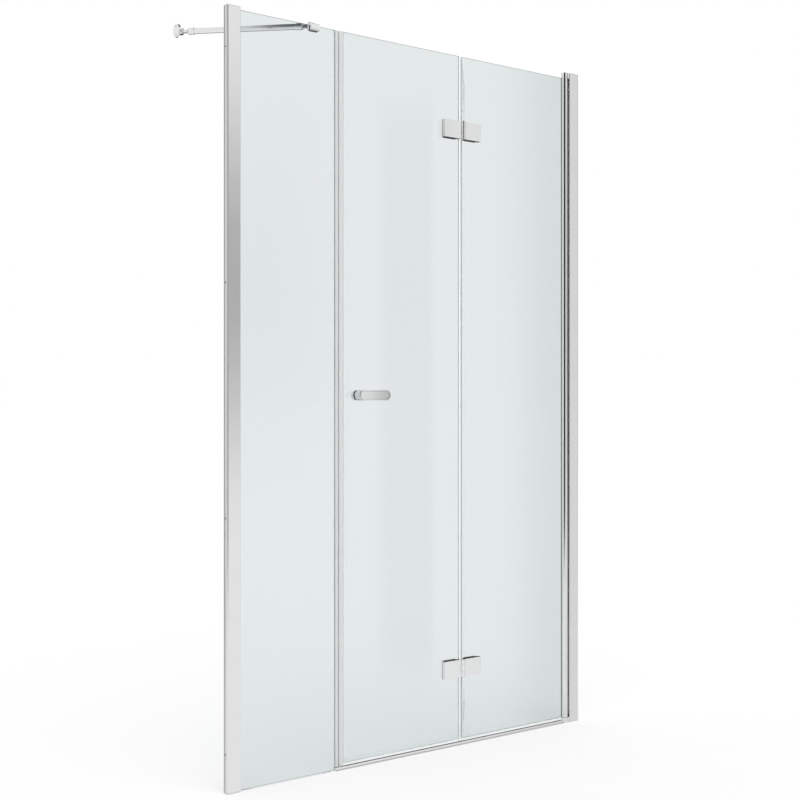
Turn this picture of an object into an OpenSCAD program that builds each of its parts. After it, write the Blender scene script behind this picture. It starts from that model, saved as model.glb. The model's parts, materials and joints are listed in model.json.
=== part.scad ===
// Frameless bifold shower front: a fixed glass panel in line with two glass
// leaves, which are hinged to each other and to a round post at the right wall.
// X runs along the front, Y into the shower, Z up from the tray. Y = 0 is the
// middle of the glass, X = 0 is halfway between the two walls.

/* [Glass] */
// Height of the top edge of every pane above the tray
glass_top = 1932; // [1700:1:2100]
// Width of the fixed panel's pane
fixed_pane_w = 298.2; // [260:0.2:500]
// Width of the handle leaf's pane
handle_leaf_w = 393.6; // [360:0.2:440]
// Distance from the fold gap to the post's axis
wall_leaf_reach = 403.1; // [360:0.1:440]
// Thickness of every pane
glass_t = 6; // [5:0.5:7]
// Height of the fixed panel's lower edge above the tray
panel_lift = 2.4; // [2.4:0.2:6]
// Gap between the two leaves' panes at the fold
fold_gap = 11; // [9:0.5:14]
// Gap between the fixed pane and the handle leaf's pane
strike_gap = 27.3; // [25:0.1:32]

/* [Wall profiles] */
// Height of the fixed panel's wall profile above the top edge of the glass
panel_profile_rise = 7; // [4:0.5:25]
// Width of a wall profile along the front
profile_w = 37.5; // [35:0.5:45]
// Depth of a wall profile
profile_d = 18; // [17:0.5:26]
// Wall thickness of a cover profile
profile_wall = 1.5; // [1.2:0.1:1.8]
// Radius of the cover's front corner beside the wall
nose_r = 4; // [4:0.5:7.5]
// Radius of the cover's corners beside the glass
edge_r = 1.2; // [0.5:0.1:1.4]
// Depth of the pocket that takes the glass
pocket_depth = 14.5; // [12:0.5:16]
// Depth of a wall channel, across its two legs
channel_d = 9.8; // [9:0.1:10.2]
// Length of a wall channel's legs
channel_leg = 18; // [17:0.5:18.5]
// Wall thickness of a wall channel
channel_wall = 1.2; // [1:0.1:1.6]
// Thickness of the end caps' plates
cap_t = 2; // [1.5:0.1:2.3]
// Length of the end caps' plugs inside the profile
cap_plug = 10; // [5:1:20]

/* [Wall screws] */
// Radius of the wall screw holes
wall_hole_r = 2.25; // [2:0.05:2.8]
// Height of the lowest wall hole, and the highest one's distance below the glass's top
wall_hole_end = 96; // [60:2:200]
// Radius of the screws that lock a cover on its channel
lock_screw_r = 1.75; // [1.5:0.05:2]
// Distance of the lock screws from the wall
lock_screw_in = 14; // [13:0.5:15]
// Distance of the outer lock screws from the profile's ends
lock_screw_end = 150; // [100:5:300]

/* [Glazing and seals] */
// Thickness of the gasket between a pane and its profile
gasket_t = 1.5; // [1.2:0.1:1.6]
// Distance that the fixed pane's gasket stands out of its pocket
gasket_lip = 1; // [0.5:0.1:2]
// Wall thickness of the clear strips
strip_wall = 1.1; // [0.8:0.1:1.3]
// Overlap of the clear strips on the panes
strip_grip = 10; // [7:0.5:14]
// Depth of the two magnet chambers
chamber_d = 10; // [9:0.5:11]
// Gap between the two closing strips
closing_gap = 2.1; // [1.8:0.1:3]
// Width of the fixed pane's magnet chamber
strike_chamber_w = 10.2; // [8:0.1:11]
// Clearance around a magnet in its chamber
magnet_gap = 0.1; // [0.05:0.05:0.3]
// Clearance of the closing strips above the threshold rail
strip_foot_gap = 2; // [1:0.5:7]
// Clearance of the fold strip to the handle leaf's pane
fold_strip_gap = 0.4; // [0.3:0.1:1]
// Depth of the fold strip's hollow bead
fold_bead_d = 9; // [7:0.5:10]
// Thickness of the post strip's lip
post_lip_t = 1.6; // [1:0.1:3]
// Clearance of the post strip to the turning post
post_lip_gap = 0.4; // [0.3:0.1:1]

/* [Threshold and sweeps] */
// Height of the threshold rail
threshold_h = 8; // [4:0.5:8]
// Depth of the threshold rail's foot
threshold_d = 20; // [14:1:30]
// Thickness of the threshold rail's foot
threshold_foot_t = 1.5; // [1:0.1:3]
// Depth of the threshold rail's ridge
threshold_ridge_d = 8; // [5:0.5:10]
// Clearance of the sweeps above the threshold rail
sweep_gap = 0.7; // [0.5:0.1:2]
// Distance that the drip fin stands out into the shower
drip_reach = 5; // [3:0.5:8]

/* [Post and pivots] */
// Radius of the hinge post
post_r = 10; // [9.6:0.1:11]
// Distance of the post's axis from the wall profile's face
post_stand_off = 13.4; // [12:0.1:24]
// Depth of the post's slot for the pane
post_slot_depth = 4.6; // [4.2:0.1:5]
// Radius of the post's bore
post_bore_r = 4.5; // [4.2:0.1:4.8]
// Radius of the pivot pins
pivot_pin_r = 3; // [2.5:0.1:3.5]
// Running clearance of the pivot pins in their bushes
pivot_clearance = 0.05; // [0.02:0.01:0.1]
// Length of the bushes inside the post
bush_len = 20; // [12:1:40]
// Radius of the bushes' flanges
bush_flange_r = 9; // [7:0.5:10]
// Thickness of the bushes' flanges
bush_flange_t = 1; // [0.8:0.1:1.2]
// Height of a pivot block
pivot_block_h = 15; // [12:0.5:15]
// Distance that the post reaches past the wall leaf's pane at each end
pane_in_post = 0.7; // [0.2:0.1:3]
// Distance of the upper pivot block below the profile's top
pivot_block_drop = 1; // [0.5:0.1:1.3]
// Length of the pivot blocks' tongues inside the profile
tongue_len = 12; // [8:0.5:13]

/* [Leaf hinges] */
// Height of the lower hinge's middle
lower_hinge_z = 216.5; // [120:0.5:400]
// Distance of the upper hinge's middle below the top edge of the glass
upper_hinge_drop = 209; // [120:0.5:400]
// Height of a hinge
hinge_h = 49; // [46:1:70]
// Length of an outer hinge plate
hinge_plate_w = 60; // [54:0.5:80]
// Length of an inner hinge plate
inner_plate_w = 44; // [36:0.5:54]
// Thickness of an outer hinge plate
outer_plate_t = 10; // [8:0.1:10.2]
// Thickness of an inner hinge plate
inner_plate_t = 4; // [3.5:0.1:6]
// Thickness of the sheet between a hinge plate and the pane
hinge_pad_t = 1.5; // [0.5:0.1:2]
// Distance of the hinge pin's axis from the fold gap's middle plane, outwards
hinge_pin_out = 15; // [14.5:0.1:16]
// Distance of each hinge plate's end from the pin's axis
plate_set_back = 6.3; // [6:0.1:7]
// Radius of the hinge knuckles
knuckle_r = 5.5; // [4.5:0.1:5.6]
// Height of the middle knuckle
middle_knuckle_h = 18; // [12:0.5:24]
// Gap between two knuckles
knuckle_gap = 0.3; // [0.2:0.05:0.6]
// Radius of the hinge pins
hinge_pin_r = 2.5; // [2:0.1:3]
// Running clearance of the hinge pins
hinge_clearance = 0.05; // [0.02:0.01:0.1]
// Vertical distance between a hinge plate's two screws
hinge_screw_span = 27; // [22:0.5:30]
// Radius of the hinge screws
hinge_screw_r = 2.5; // [2:0.1:3]
// Radius of the screws' holes in the panes
pane_hole_r = 6; // [5.5:0.1:8]

/* [Handle] */
// Height of the handle
handle_z = 980; // [850:1:1100]
// Distance of the handle's boss from the pane's free edge
handle_in = 48.1; // [35:0.1:80]
// Length of the handle plate
handle_l = 95; // [80:0.5:160]
// Height of the handle plate
handle_h = 27; // [26:0.5:40]
// Thickness of the handle plate
handle_t = 6; // [4:0.5:8]
// Distance from the pane to the back of the handle plate
handle_stand_off = 28; // [20:0.5:30]
// Radius of the handle's boss
boss_r = 13; // [10:0.5:13]
// Radius of the inner knob
knob_r = 13; // [11:0.5:18]
// Length of the inner knob
knob_l = 12; // [10:0.5:20]
// Radius of the handle's bolt
handle_bolt_r = 3; // [2.5:0.1:4]
// Thickness of the handle's washers
washer_t = 1; // [0.5:0.1:2]

/* [Stay bar] */
// Distance of the stay clamp's middle from the fixed pane's free edge
stay_clamp_in = 64.1; // [50:0.1:110]
// Length of the stay clamp along the glass
stay_clamp_l = 26; // [24:1:50]
// Height of the stay clamp
stay_clamp_h = 18; // [16:1:35]
// Thickness of the stay clamp's jaws
stay_jaw_t = 5; // [4:0.5:8]
// Thickness of the clamp's lining
stay_lining_t = 1; // [0.5:0.1:2]
// Angle between the stay bar and the glass
stay_angle = 45; // [35:1:50]
// Radius of the stay bar
stay_r = 7.5; // [6:0.1:8]
// Height of the stay bar's axis above the top edge of the glass
stay_rise = 3; // [2:0.5:5]
// Radius of the swivel eyes and their ears
swivel_r = 7.5; // [6:0.5:9]
// Height of a swivel eye
swivel_eye_h = 8; // [7:0.5:8.5]
// Thickness of the ears above and below a swivel eye
swivel_ear_t = 3.5; // [3:0.5:3.5]
// Radius of the swivel screws
swivel_screw_r = 2.5; // [2:0.1:3]
// Length of the neck between a swivel eye and its sleeve
swivel_neck_l = 11.4; // [2:0.2:16]
// Length of the sleeve on each end of the stay bar
stay_sleeve_l = 18; // [12:1:30]
// Radius of the wall flange
flange_r = 17.5; // [16.5:0.5:24]
// Thickness of the wall flange
flange_t = 5; // [3:0.5:8]
// Distance between the wall flange's two screw holes
flange_hole_span = 25; // [24.5:0.5:27]

/* [Hidden] */

$fn = 64;
// Overlap of cutting shapes past the faces that they cut
cut = 1;
// Clearance between pieces that are fitted into each other by hand
fit_gap = 0.2;
// Clearance of a pin or screw in the hole that holds it
press_gap = 0.02;
// Clearance between flat faces that turn on each other
turn_gap = 0.3;
// Clearance of a screw in a hole that it only passes
pass_gap = 0.15;
// Gap between the ends of strips that meet
end_gap = 0.5;

half_glass = glass_t / 2;
half_profile = profile_d / 2;

// Pocket and slot of a cover profile, measured from the wall
slot_half = half_glass + gasket_t;
pocket_back = profile_w - pocket_depth;
pocket_wall = 1.2;
web_gap = 0.1;
gasket_web = 0.7;
fixed_pane_in = pocket_back + web_gap + gasket_web + web_gap;
guide_w = 4;
closing_chamber_w = strike_gap - 2 * web_gap - strike_chamber_w - closing_gap;

// Places along the front
opening_w = fixed_pane_in + fixed_pane_w + strike_gap + handle_leaf_w + fold_gap + wall_leaf_reach
    + post_stand_off + profile_w;
wall_x = opening_w / 2;
post_x = wall_x - profile_w - post_stand_off;
wall_pane_left = post_x - wall_leaf_reach;
handle_pane_right = wall_pane_left - fold_gap;
handle_pane_left = handle_pane_right - handle_leaf_w;
fixed_pane_right = handle_pane_left - strike_gap;
hinge_x = wall_pane_left - fold_gap / 2;

// Heights
post_foot = pivot_block_h + turn_gap + bush_flange_t;
leaf_lift = post_foot + pane_in_post;
post_top = glass_top + pane_in_post;
upper_block_z = post_top + bush_flange_t + turn_gap;
hinge_profile_h = upper_block_z + pivot_block_h + pivot_block_drop;
panel_profile_h = glass_top + panel_profile_rise;
upper_hinge_z = glass_top - upper_hinge_drop;
outer_hole_span = glass_top - 2 * wall_hole_end;
inner_hole_span = outer_hole_span / 3;
strip_foot = threshold_h + strip_foot_gap;
sweep_lip_z = threshold_h + sweep_gap;

// Post
slot_floor_x = post_x - post_r + post_slot_depth;
post_gasket_web = 0.5;
post_gasket_lip = 3;
wall_pane_right = slot_floor_x - post_gasket_web - 2 * web_gap;
bush_r = post_bore_r - press_gap;
bush_bore_r = pivot_pin_r + pivot_clearance;
pin_block_wall = 3;
pin_in_block = pivot_block_h - pin_block_wall;
block_arm_share = 0.75;

// Leaf hinges
hinge_heights = [lower_hinge_z, upper_hinge_z];
plate_face = half_glass + hinge_pad_t;
plate_screw_x = plate_set_back + hinge_plate_w / 2;
head_step = 2.3;
screw_head_r = hinge_screw_r + head_step;
screw_head_h = 2.4;
sleeve_r = pane_hole_r - fit_gap;
blind_wall = 1;
knuckle_arm = 7;
pin_head_step = 0.8;

// Handle
handle_x = handle_pane_left + handle_in;
boss_face = half_glass + washer_t;
handle_back = half_glass + handle_stand_off;
bolt_head_r = handle_bolt_r + head_step;
bolt_head_h = 4;
bolt_in_boss = 16;
boss_groove_l = 2;
boss_groove_depth = 1.5;

// Stay bar
stay_z = glass_top + stay_rise;
stay_clamp_x = fixed_pane_right - stay_clamp_in;
stay_jaw_y = half_glass + stay_lining_t;
clamp_above = 4;
swivel_room = 1.5;
foot_plate_t = 1;
clamp_pivot_y = stay_jaw_y + stay_jaw_t + swivel_r + swivel_room;
flange_pivot_x = -wall_x + flange_t + swivel_r + swivel_room;
stay_run = stay_clamp_x - flange_pivot_x;
flange_pivot_y = clamp_pivot_y + stay_run * tan(stay_angle);
stay_len = stay_run / cos(stay_angle);
ears_h = swivel_eye_h + 2 * turn_gap + 2 * swivel_ear_t;
neck_share = 0.6;
swivel_neck = swivel_r + swivel_neck_l;
sleeve_bottom = 4;
bar_in_sleeve = stay_sleeve_l - sleeve_bottom;
sleeve_wall = 1.2;

chrome = [0.86, 0.87, 0.88];
glass_tint = [0.85, 0.9, 0.9, 0.35];
clear_strip = [0.9, 0.93, 0.93, 0.6];
nylon = [0.93, 0.93, 0.9];
steel = [0.7, 0.71, 0.73];
dark_rubber = [0.25, 0.26, 0.27];
white_plastic = [0.9, 0.91, 0.91];

// ---------- shared shapes ----------

// Draws its children from the left wall, or mirrored from the right wall
module from_wall(right) {
    mirror([right ? 1 : 0, 0, 0])
        translate([-wall_x, 0, 0])
            children();
}

// The piece outside a quarter round of radius r in the corner at the origin
module corner_waste(r) {
    difference() {
        translate([-cut, -cut]) square(r + cut);
        translate([r, r]) circle(r);
    }
}

// A bar along Y outwards, with its near end at y
module outward_bar(r, y, l) {
    translate([0, -y, 0]) rotate([90, 0, 0]) cylinder(r = r, h = l);
}

// A bar along Y inwards, with its near end at y
module inward_bar(r, y, l) {
    translate([0, y, 0]) rotate([-90, 0, 0]) cylinder(r = r, h = l);
}

// Draws a Y-Z outline along X from x0 to x1
module along_x(x0, x1) {
    translate([x0, 0, 0]) rotate([90, 0, 90]) linear_extrude(x1 - x0) children();
}

// Draws its children at both faces of the glass
module both_faces() {
    children();
    mirror([0, 1, 0]) children();
}

// Outline of a clip on a pane that ends at x = 0 and lies towards -x: its legs
// grip the pane over the given length and its web lies beyond the pane's edge
module clip_section(grip, leg_t, web_t) {
    half = half_glass + leg_t;
    difference() {
        translate([-grip, -half]) square([grip + web_gap + web_t, 2 * half]);
        translate([-grip - cut, -half_glass]) square([grip + cut + web_gap, glass_t]);
    }
}

// ---------- wall profiles ----------

module cover_outline(inset) {
    d = profile_d - 2 * inset;
    near_edge = profile_w - inset;
    difference() {
        translate([inset, -d / 2]) square([near_edge - inset, d]);
        translate([inset, -d / 2]) corner_waste(nose_r - inset);
        if (edge_r > inset) {
            translate([near_edge, -d / 2]) mirror([1, 0]) corner_waste(edge_r - inset);
            translate([near_edge, d / 2]) rotate(180) corner_waste(edge_r - inset);
        }
    }
}

module cover_section() {
    inner_half = half_profile - profile_wall;
    channel_half = channel_d / 2 + fit_gap;
    difference() {
        union() {
            difference() {
                cover_outline(0);
                cover_outline(profile_wall);
                translate([-cut, -channel_half])
                    square([nose_r + cut, channel_half + inner_half]);
            }
            translate([pocket_back - pocket_wall, -slot_half - pocket_wall])
                square([pocket_depth + pocket_wall - edge_r, 2 * (slot_half + pocket_wall)]);
            for (side = [-1, 1])
                translate([lock_screw_in - guide_w / 2, side > 0 ? channel_half : -inner_half - fit_gap])
                    square([guide_w, inner_half + fit_gap - channel_half]);
        }
        translate([pocket_back, -slot_half]) square([pocket_depth + cut, 2 * slot_half]);
    }
}

module cover_profile(height) {
    difference() {
        translate([0, 0, cap_t]) linear_extrude(height - 2 * cap_t) cover_section();
        lock_screw_holes(height, lock_screw_r + press_gap);
    }
}

module lock_screw_heights(height) {
    for (z = [lock_screw_end, height / 2, height - lock_screw_end])
        translate([lock_screw_in, 0, z]) children();
}

module lock_screw_holes(height, r) {
    lock_screw_heights(height)
        inward_bar(r, channel_d / 2 - channel_wall - cut, half_profile + 2 * cut);
}

module lock_screws(height) {
    head_r = 2 * lock_screw_r;
    head_h = 2;
    tip_out = 0.5;
    tip = channel_d / 2 - channel_wall - tip_out;
    color(steel) lock_screw_heights(height) {
        inward_bar(lock_screw_r, tip, half_profile - tip + head_h / 2);
        inward_bar(head_r, half_profile, head_h);
    }
}

module wall_channel(height) {
    color(chrome) difference() {
        translate([0, 0, cap_t]) linear_extrude(height - 2 * cap_t) difference() {
            translate([0, -channel_d / 2]) square([channel_leg, channel_d]);
            translate([channel_wall, channel_wall - channel_d / 2])
                square([channel_leg, channel_d - 2 * channel_wall]);
        }
        for (span = [outer_hole_span, inner_hole_span], side = [-1, 1])
            translate([-cut, 0, glass_top / 2 + side * span / 2])
                rotate([0, 90, 0]) cylinder(r = wall_hole_r, h = channel_wall + 2 * cut);
        lock_screw_holes(height, lock_screw_r + press_gap);
    }
}

// Plate and plugs of one end cap, with the plate's outer face at z = 0
module end_cap() {
    plug_y = channel_d / 2 + fit_gap;
    plug_d = half_profile - profile_wall - fit_gap - plug_y;
    plug_x = lock_screw_in + guide_w / 2 + fit_gap;
    linear_extrude(cap_t) cover_outline(0);
    for (y = [-plug_y - plug_d, plug_y])
        translate([plug_x, y, cap_t / 2])
            cube([pocket_back - pocket_wall - fit_gap - plug_x, plug_d, cap_t / 2 + cap_plug]);
}

module end_caps(height) {
    color(white_plastic) {
        end_cap();
        translate([0, 0, height]) mirror([0, 0, 1]) end_cap();
    }
}

module left_wall_channel() { from_wall(false) wall_channel(panel_profile_h); }
module left_cover_profile() { color(chrome) from_wall(false) cover_profile(panel_profile_h); }
module left_end_caps() { from_wall(false) end_caps(panel_profile_h); }
module left_lock_screws() { from_wall(false) lock_screws(panel_profile_h); }

module right_wall_channel() { from_wall(true) wall_channel(hinge_profile_h); }
module right_cover_profile() { color(chrome) from_wall(true) cover_profile(hinge_profile_h); }
module right_end_caps() { from_wall(true) end_caps(hinge_profile_h); }
module right_lock_screws() { from_wall(true) lock_screws(hinge_profile_h); }

// ---------- fixed panel ----------

module fixed_glass() {
    left = -wall_x + fixed_pane_in;
    color(glass_tint) translate([left, -half_glass, panel_lift])
        cube([fixed_pane_right - left, glass_t, glass_top - panel_lift]);
}

module fixed_glass_gasket() {
    color(dark_rubber) from_wall(false)
        translate([fixed_pane_in, 0, panel_lift])
            linear_extrude(glass_top - panel_lift)
                mirror([1, 0])
                    clip_section(profile_w + gasket_lip - fixed_pane_in, gasket_t - web_gap, gasket_web);
}

module setting_blocks() {
    block_l = 24;
    inset = 12;
    color(clear_strip)
        for (x = [-wall_x + profile_w + inset, fixed_pane_right - inset - block_l])
            translate([x, -half_glass, 0]) cube([block_l, glass_t, panel_lift]);
}

// Clip and chamber of a closing strip on a pane whose free edge is at x = 0
// and which lies towards -x
module magnet_strip(chamber_w) {
    difference() {
        union() {
            clip_section(strip_grip, strip_wall, strip_wall);
            translate([web_gap, -chamber_d / 2]) square([chamber_w, chamber_d]);
        }
        translate([web_gap + strip_wall, strip_wall - chamber_d / 2])
            square([chamber_w - 2 * strip_wall, chamber_d - 2 * strip_wall]);
    }
}

module magnet_bar(chamber_w) {
    inset = strip_wall + magnet_gap;
    translate([web_gap + inset, inset - chamber_d / 2])
        square([chamber_w - 2 * inset, chamber_d - 2 * inset]);
}

module strike_strip() {
    color(clear_strip) translate([fixed_pane_right, 0, strip_foot])
        linear_extrude(glass_top - strip_foot) magnet_strip(strike_chamber_w);
}

module strike_magnet() {
    color(white_plastic) translate([fixed_pane_right, 0, strip_foot])
        linear_extrude(glass_top - strip_foot) magnet_bar(strike_chamber_w);
}

// ---------- stay bar ----------

module clamp_slot(extra) {
    translate([-stay_clamp_l / 2 - cut, -half_glass - extra, -stay_clamp_h - cut])
        cube([stay_clamp_l + 2 * cut, glass_t + 2 * extra, stay_clamp_h + cut + extra]);
}

// Two ears above and below a swivel eye, round the pivot, with a foot towards -x
module swivel_ears(foot) {
    for (z = [-swivel_eye_h / 2 - turn_gap - swivel_ear_t, swivel_eye_h / 2 + turn_gap])
        translate([0, 0, z]) difference() {
            union() {
                cylinder(r = swivel_r, h = swivel_ear_t);
                translate([-foot, -swivel_r, 0]) cube([foot, 2 * swivel_r, swivel_ear_t]);
            }
            translate([0, 0, -cut]) cylinder(r = swivel_screw_r + press_gap, h = swivel_ear_t + 2 * cut);
        }
}

module stay_clamp() {
    back = stay_jaw_y + stay_jaw_t;
    color(chrome) translate([stay_clamp_x, 0, glass_top]) {
        difference() {
            translate([-stay_clamp_l / 2, -back, clamp_above - stay_clamp_h])
                cube([stay_clamp_l, 2 * back, stay_clamp_h]);
            clamp_slot(stay_lining_t);
            translate([0, 0, -stay_clamp_h / 2])
                inward_bar(swivel_screw_r + press_gap, stay_jaw_y - cut, stay_jaw_t + 2 * cut);
        }
        // foot plate that carries the ears
        translate([-swivel_r, back, stay_rise - ears_h / 2])
            cube([2 * swivel_r, foot_plate_t, ears_h]);
        translate([0, clamp_pivot_y, stay_rise]) rotate(90)
            swivel_ears(clamp_pivot_y - back);
    }
}

module stay_clamp_lining() {
    step = 1;
    depth = stay_clamp_h - clamp_above - step;
    outer = half_glass + stay_lining_t;
    color(dark_rubber) translate([stay_clamp_x, 0, glass_top])
        along_x(-stay_clamp_l / 2, stay_clamp_l / 2)
            difference() {
                translate([-outer, -depth]) square([2 * outer, depth + stay_lining_t]);
                translate([-half_glass, -depth - cut]) square([glass_t, depth + cut]);
            }
}

module stay_grub_screw() {
    color(steel) translate([stay_clamp_x, 0, glass_top - stay_clamp_h / 2])
        inward_bar(swivel_screw_r, stay_jaw_y, stay_jaw_t);
}

// Eye on a pivot and the sleeve that takes one end of the bar, along +x
module stay_swivel() {
    difference() {
        union() {
            translate([0, 0, -swivel_eye_h / 2]) cylinder(r = swivel_r, h = swivel_eye_h);
            translate([0, -swivel_r * neck_share, -swivel_eye_h / 2])
                cube([swivel_neck + cut, 2 * swivel_r * neck_share, swivel_eye_h]);
            translate([swivel_neck, 0, 0]) rotate([0, 90, 0])
                cylinder(r = stay_r + sleeve_wall, h = stay_sleeve_l);
        }
        translate([0, 0, -swivel_eye_h]) cylinder(r = swivel_screw_r + press_gap, h = 2 * swivel_eye_h);
        translate([swivel_neck + stay_sleeve_l - bar_in_sleeve, 0, 0]) rotate([0, 90, 0])
            cylinder(r = stay_r + press_gap, h = bar_in_sleeve + cut);
    }
}

module at_clamp_pivot() {
    translate([stay_clamp_x, clamp_pivot_y, stay_z]) children();
}

module at_flange_pivot() {
    translate([flange_pivot_x, flange_pivot_y, stay_z]) children();
}

module stay_swivels() {
    color(chrome) {
        at_clamp_pivot() rotate(180 - stay_angle) stay_swivel();
        at_flange_pivot() rotate(-stay_angle) stay_swivel();
    }
}

module stay_swivel_screws() {
    color(steel) {
        at_clamp_pivot() swivel_screw();
        at_flange_pivot() swivel_screw();
    }
}

module swivel_screw() {
    rim = 1.5;
    head_h = 1.5;
    translate([0, 0, -ears_h / 2]) cylinder(r = swivel_screw_r, h = ears_h + head_h / 2);
    translate([0, 0, ears_h / 2]) cylinder(r = swivel_screw_r + rim, h = head_h);
}

module stay_bar() {
    start = swivel_neck + stay_sleeve_l - bar_in_sleeve;
    color(chrome) at_clamp_pivot() rotate(180 - stay_angle)
        translate([start, 0, 0]) rotate([0, 90, 0])
            cylinder(r = stay_r, h = stay_len - 2 * start);
}

module stay_wall_flange() {
    color(chrome) at_flange_pivot() {
        difference() {
            translate([-wall_x - flange_pivot_x, 0, 0]) rotate([0, 90, 0])
                cylinder(r = flange_r, h = flange_t);
            for (side = [-1, 1])
                translate([-wall_x - flange_pivot_x - cut, 0, side * flange_hole_span / 2])
                    rotate([0, 90, 0]) cylinder(r = wall_hole_r, h = flange_t + 2 * cut);
        }
        translate([-wall_x - flange_pivot_x + flange_t, -swivel_r, -ears_h / 2])
            cube([foot_plate_t, 2 * swivel_r, ears_h]);
        swivel_ears(flange_pivot_x + wall_x - flange_t);
    }
}

// ---------- hinge side of the frame ----------

module post_strip() {
    root = pocket_back + web_gap;
    half = slot_half - web_gap;
    lip_reach = profile_w + post_stand_off - post_r - post_lip_gap;
    foot = pivot_block_h + end_gap;
    bead_out = 1;
    color(clear_strip) from_wall(true)
        translate([0, 0, foot]) linear_extrude(upper_block_z - end_gap - foot) {
            translate([root, -half]) square([profile_w - root + bead_out, 2 * half]);
            translate([profile_w, -post_lip_t / 2])
                square([lip_reach - profile_w, post_lip_t]);
        }
}

// Pivot block with its lower face at z = 0 and a tongue clear of the end cap
module pivot_block(cap_side) {
    half = slot_half - fit_gap;
    tongue_z = cap_side > 0 ? 0 : cap_t + fit_gap;
    tongue_h = pivot_block_h - cap_t - fit_gap;
    hole_z = cap_side > 0 ? -cut : pivot_block_h - pin_in_block;
    color(chrome) difference() {
        union() {
            translate([post_x, 0, 0]) cylinder(r = post_r, h = pivot_block_h);
            translate([post_x, -post_r * block_arm_share, 0])
                cube([post_stand_off, 2 * post_r * block_arm_share, pivot_block_h]);
            translate([post_x + post_stand_off - cut, -half, tongue_z])
                cube([tongue_len + cut, 2 * half, tongue_h]);
        }
        translate([post_x, 0, hole_z]) cylinder(r = pivot_pin_r + press_gap, h = pin_in_block + cut);
    }
}

module upper_pivot_block() { translate([0, 0, upper_block_z]) pivot_block(1); }
module lower_pivot_block() { pivot_block(-1); }

module pivot_pins() {
    l = pin_in_block + turn_gap + bush_flange_t + bush_len;
    color(steel) translate([post_x, 0, 0]) {
        translate([0, 0, pivot_block_h - pin_in_block]) cylinder(r = pivot_pin_r, h = l);
        translate([0, 0, upper_block_z + pin_in_block - l]) cylinder(r = pivot_pin_r, h = l);
    }
}

module threshold_rail() {
    left = fixed_pane_right + turn_gap;
    right = post_x - post_r - end_gap;
    ridge = threshold_ridge_d / 2;
    top_r = 1.5;
    color(chrome) along_x(left, right) difference() {
        union() {
            translate([-threshold_d / 2, 0]) square([threshold_d, threshold_foot_t]);
            translate([-ridge, 0]) square([2 * ridge, threshold_h]);
        }
        translate([-ridge, threshold_h]) mirror([0, 1]) corner_waste(top_r);
        translate([ridge, threshold_h]) rotate(180) corner_waste(top_r);
    }
}

// ---------- wall leaf ----------

module hinge_post() {
    side_bore_r = 1.8;
    side_bore_turn = 55;
    bore_web = 0.6;
    side_bore_at = post_bore_r + side_bore_r + bore_web;
    color(chrome) translate([post_x, 0, post_foot])
        linear_extrude(post_top - post_foot) difference() {
            circle(post_r);
            circle(post_bore_r);
            for (a = [-side_bore_turn, 0, side_bore_turn])
                rotate(a) translate([side_bore_at, 0]) circle(side_bore_r);
            translate([-post_r - cut, -slot_half])
                square([post_slot_depth + cut, 2 * slot_half]);
        }
}

module post_bush() {
    difference() {
        union() {
            cylinder(r = bush_flange_r, h = bush_flange_t);
            cylinder(r = bush_r, h = bush_flange_t + bush_len);
        }
        translate([0, 0, -cut]) cylinder(r = bush_bore_r, h = bush_flange_t + bush_len + 2 * cut);
    }
}

module post_bushes() {
    color(nylon) translate([post_x, 0, 0]) {
        translate([0, 0, post_foot - bush_flange_t]) post_bush();
        translate([0, 0, post_top + bush_flange_t]) mirror([0, 0, 1]) post_bush();
    }
}

module leaf_pane(left, right) {
    translate([left, -half_glass, leaf_lift])
        cube([right - left, glass_t, glass_top - leaf_lift]);
}

// Draws its children at the hinge screws of one leaf, side -1 left, 1 right
module at_hinge_screws(side) {
    for (z = hinge_heights, s = [-1, 1])
        translate([hinge_x + side * plate_screw_x, 0, z + s * hinge_screw_span / 2]) children();
}

module pane_screw_holes(side) {
    at_hinge_screws(side) inward_bar(pane_hole_r, -half_glass - cut, glass_t + 2 * cut);
}

module wall_leaf_glass() {
    color(glass_tint) difference() {
        leaf_pane(wall_pane_left, wall_pane_right);
        pane_screw_holes(1);
    }
}

module wall_leaf_gasket() {
    grip = wall_pane_right - (post_x - post_r - post_gasket_lip);
    color(dark_rubber) translate([wall_pane_right, 0, leaf_lift])
        linear_extrude(glass_top - leaf_lift)
            clip_section(grip, gasket_t - web_gap, post_gasket_web);
}

// Clip, lip and drip fin of a bottom sweep from x0 to x1
module sweep(x0, x1) {
    outer = half_glass + strip_wall;
    web_z = leaf_lift - web_gap - strip_wall;
    fin_rise = 2;
    fin_z = sweep_lip_z + fin_rise;
    color(clear_strip) along_x(x0, x1) {
        translate([0, leaf_lift]) rotate(-90) clip_section(strip_grip, strip_wall, strip_wall);
        translate([-strip_wall / 2, sweep_lip_z])
            square([strip_wall, web_z + strip_wall / 2 - sweep_lip_z]);
        polygon([
            [outer - strip_wall, web_z + strip_wall / 2],
            [outer + drip_reach, fin_z],
            [outer + drip_reach, fin_z + strip_wall],
            [outer - strip_wall / 2, leaf_lift]
        ]);
    }
}

module wall_leaf_sweep() {
    sweep(wall_pane_left + strip_grip + end_gap, post_x - post_r - post_gasket_lip - end_gap);
}

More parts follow.
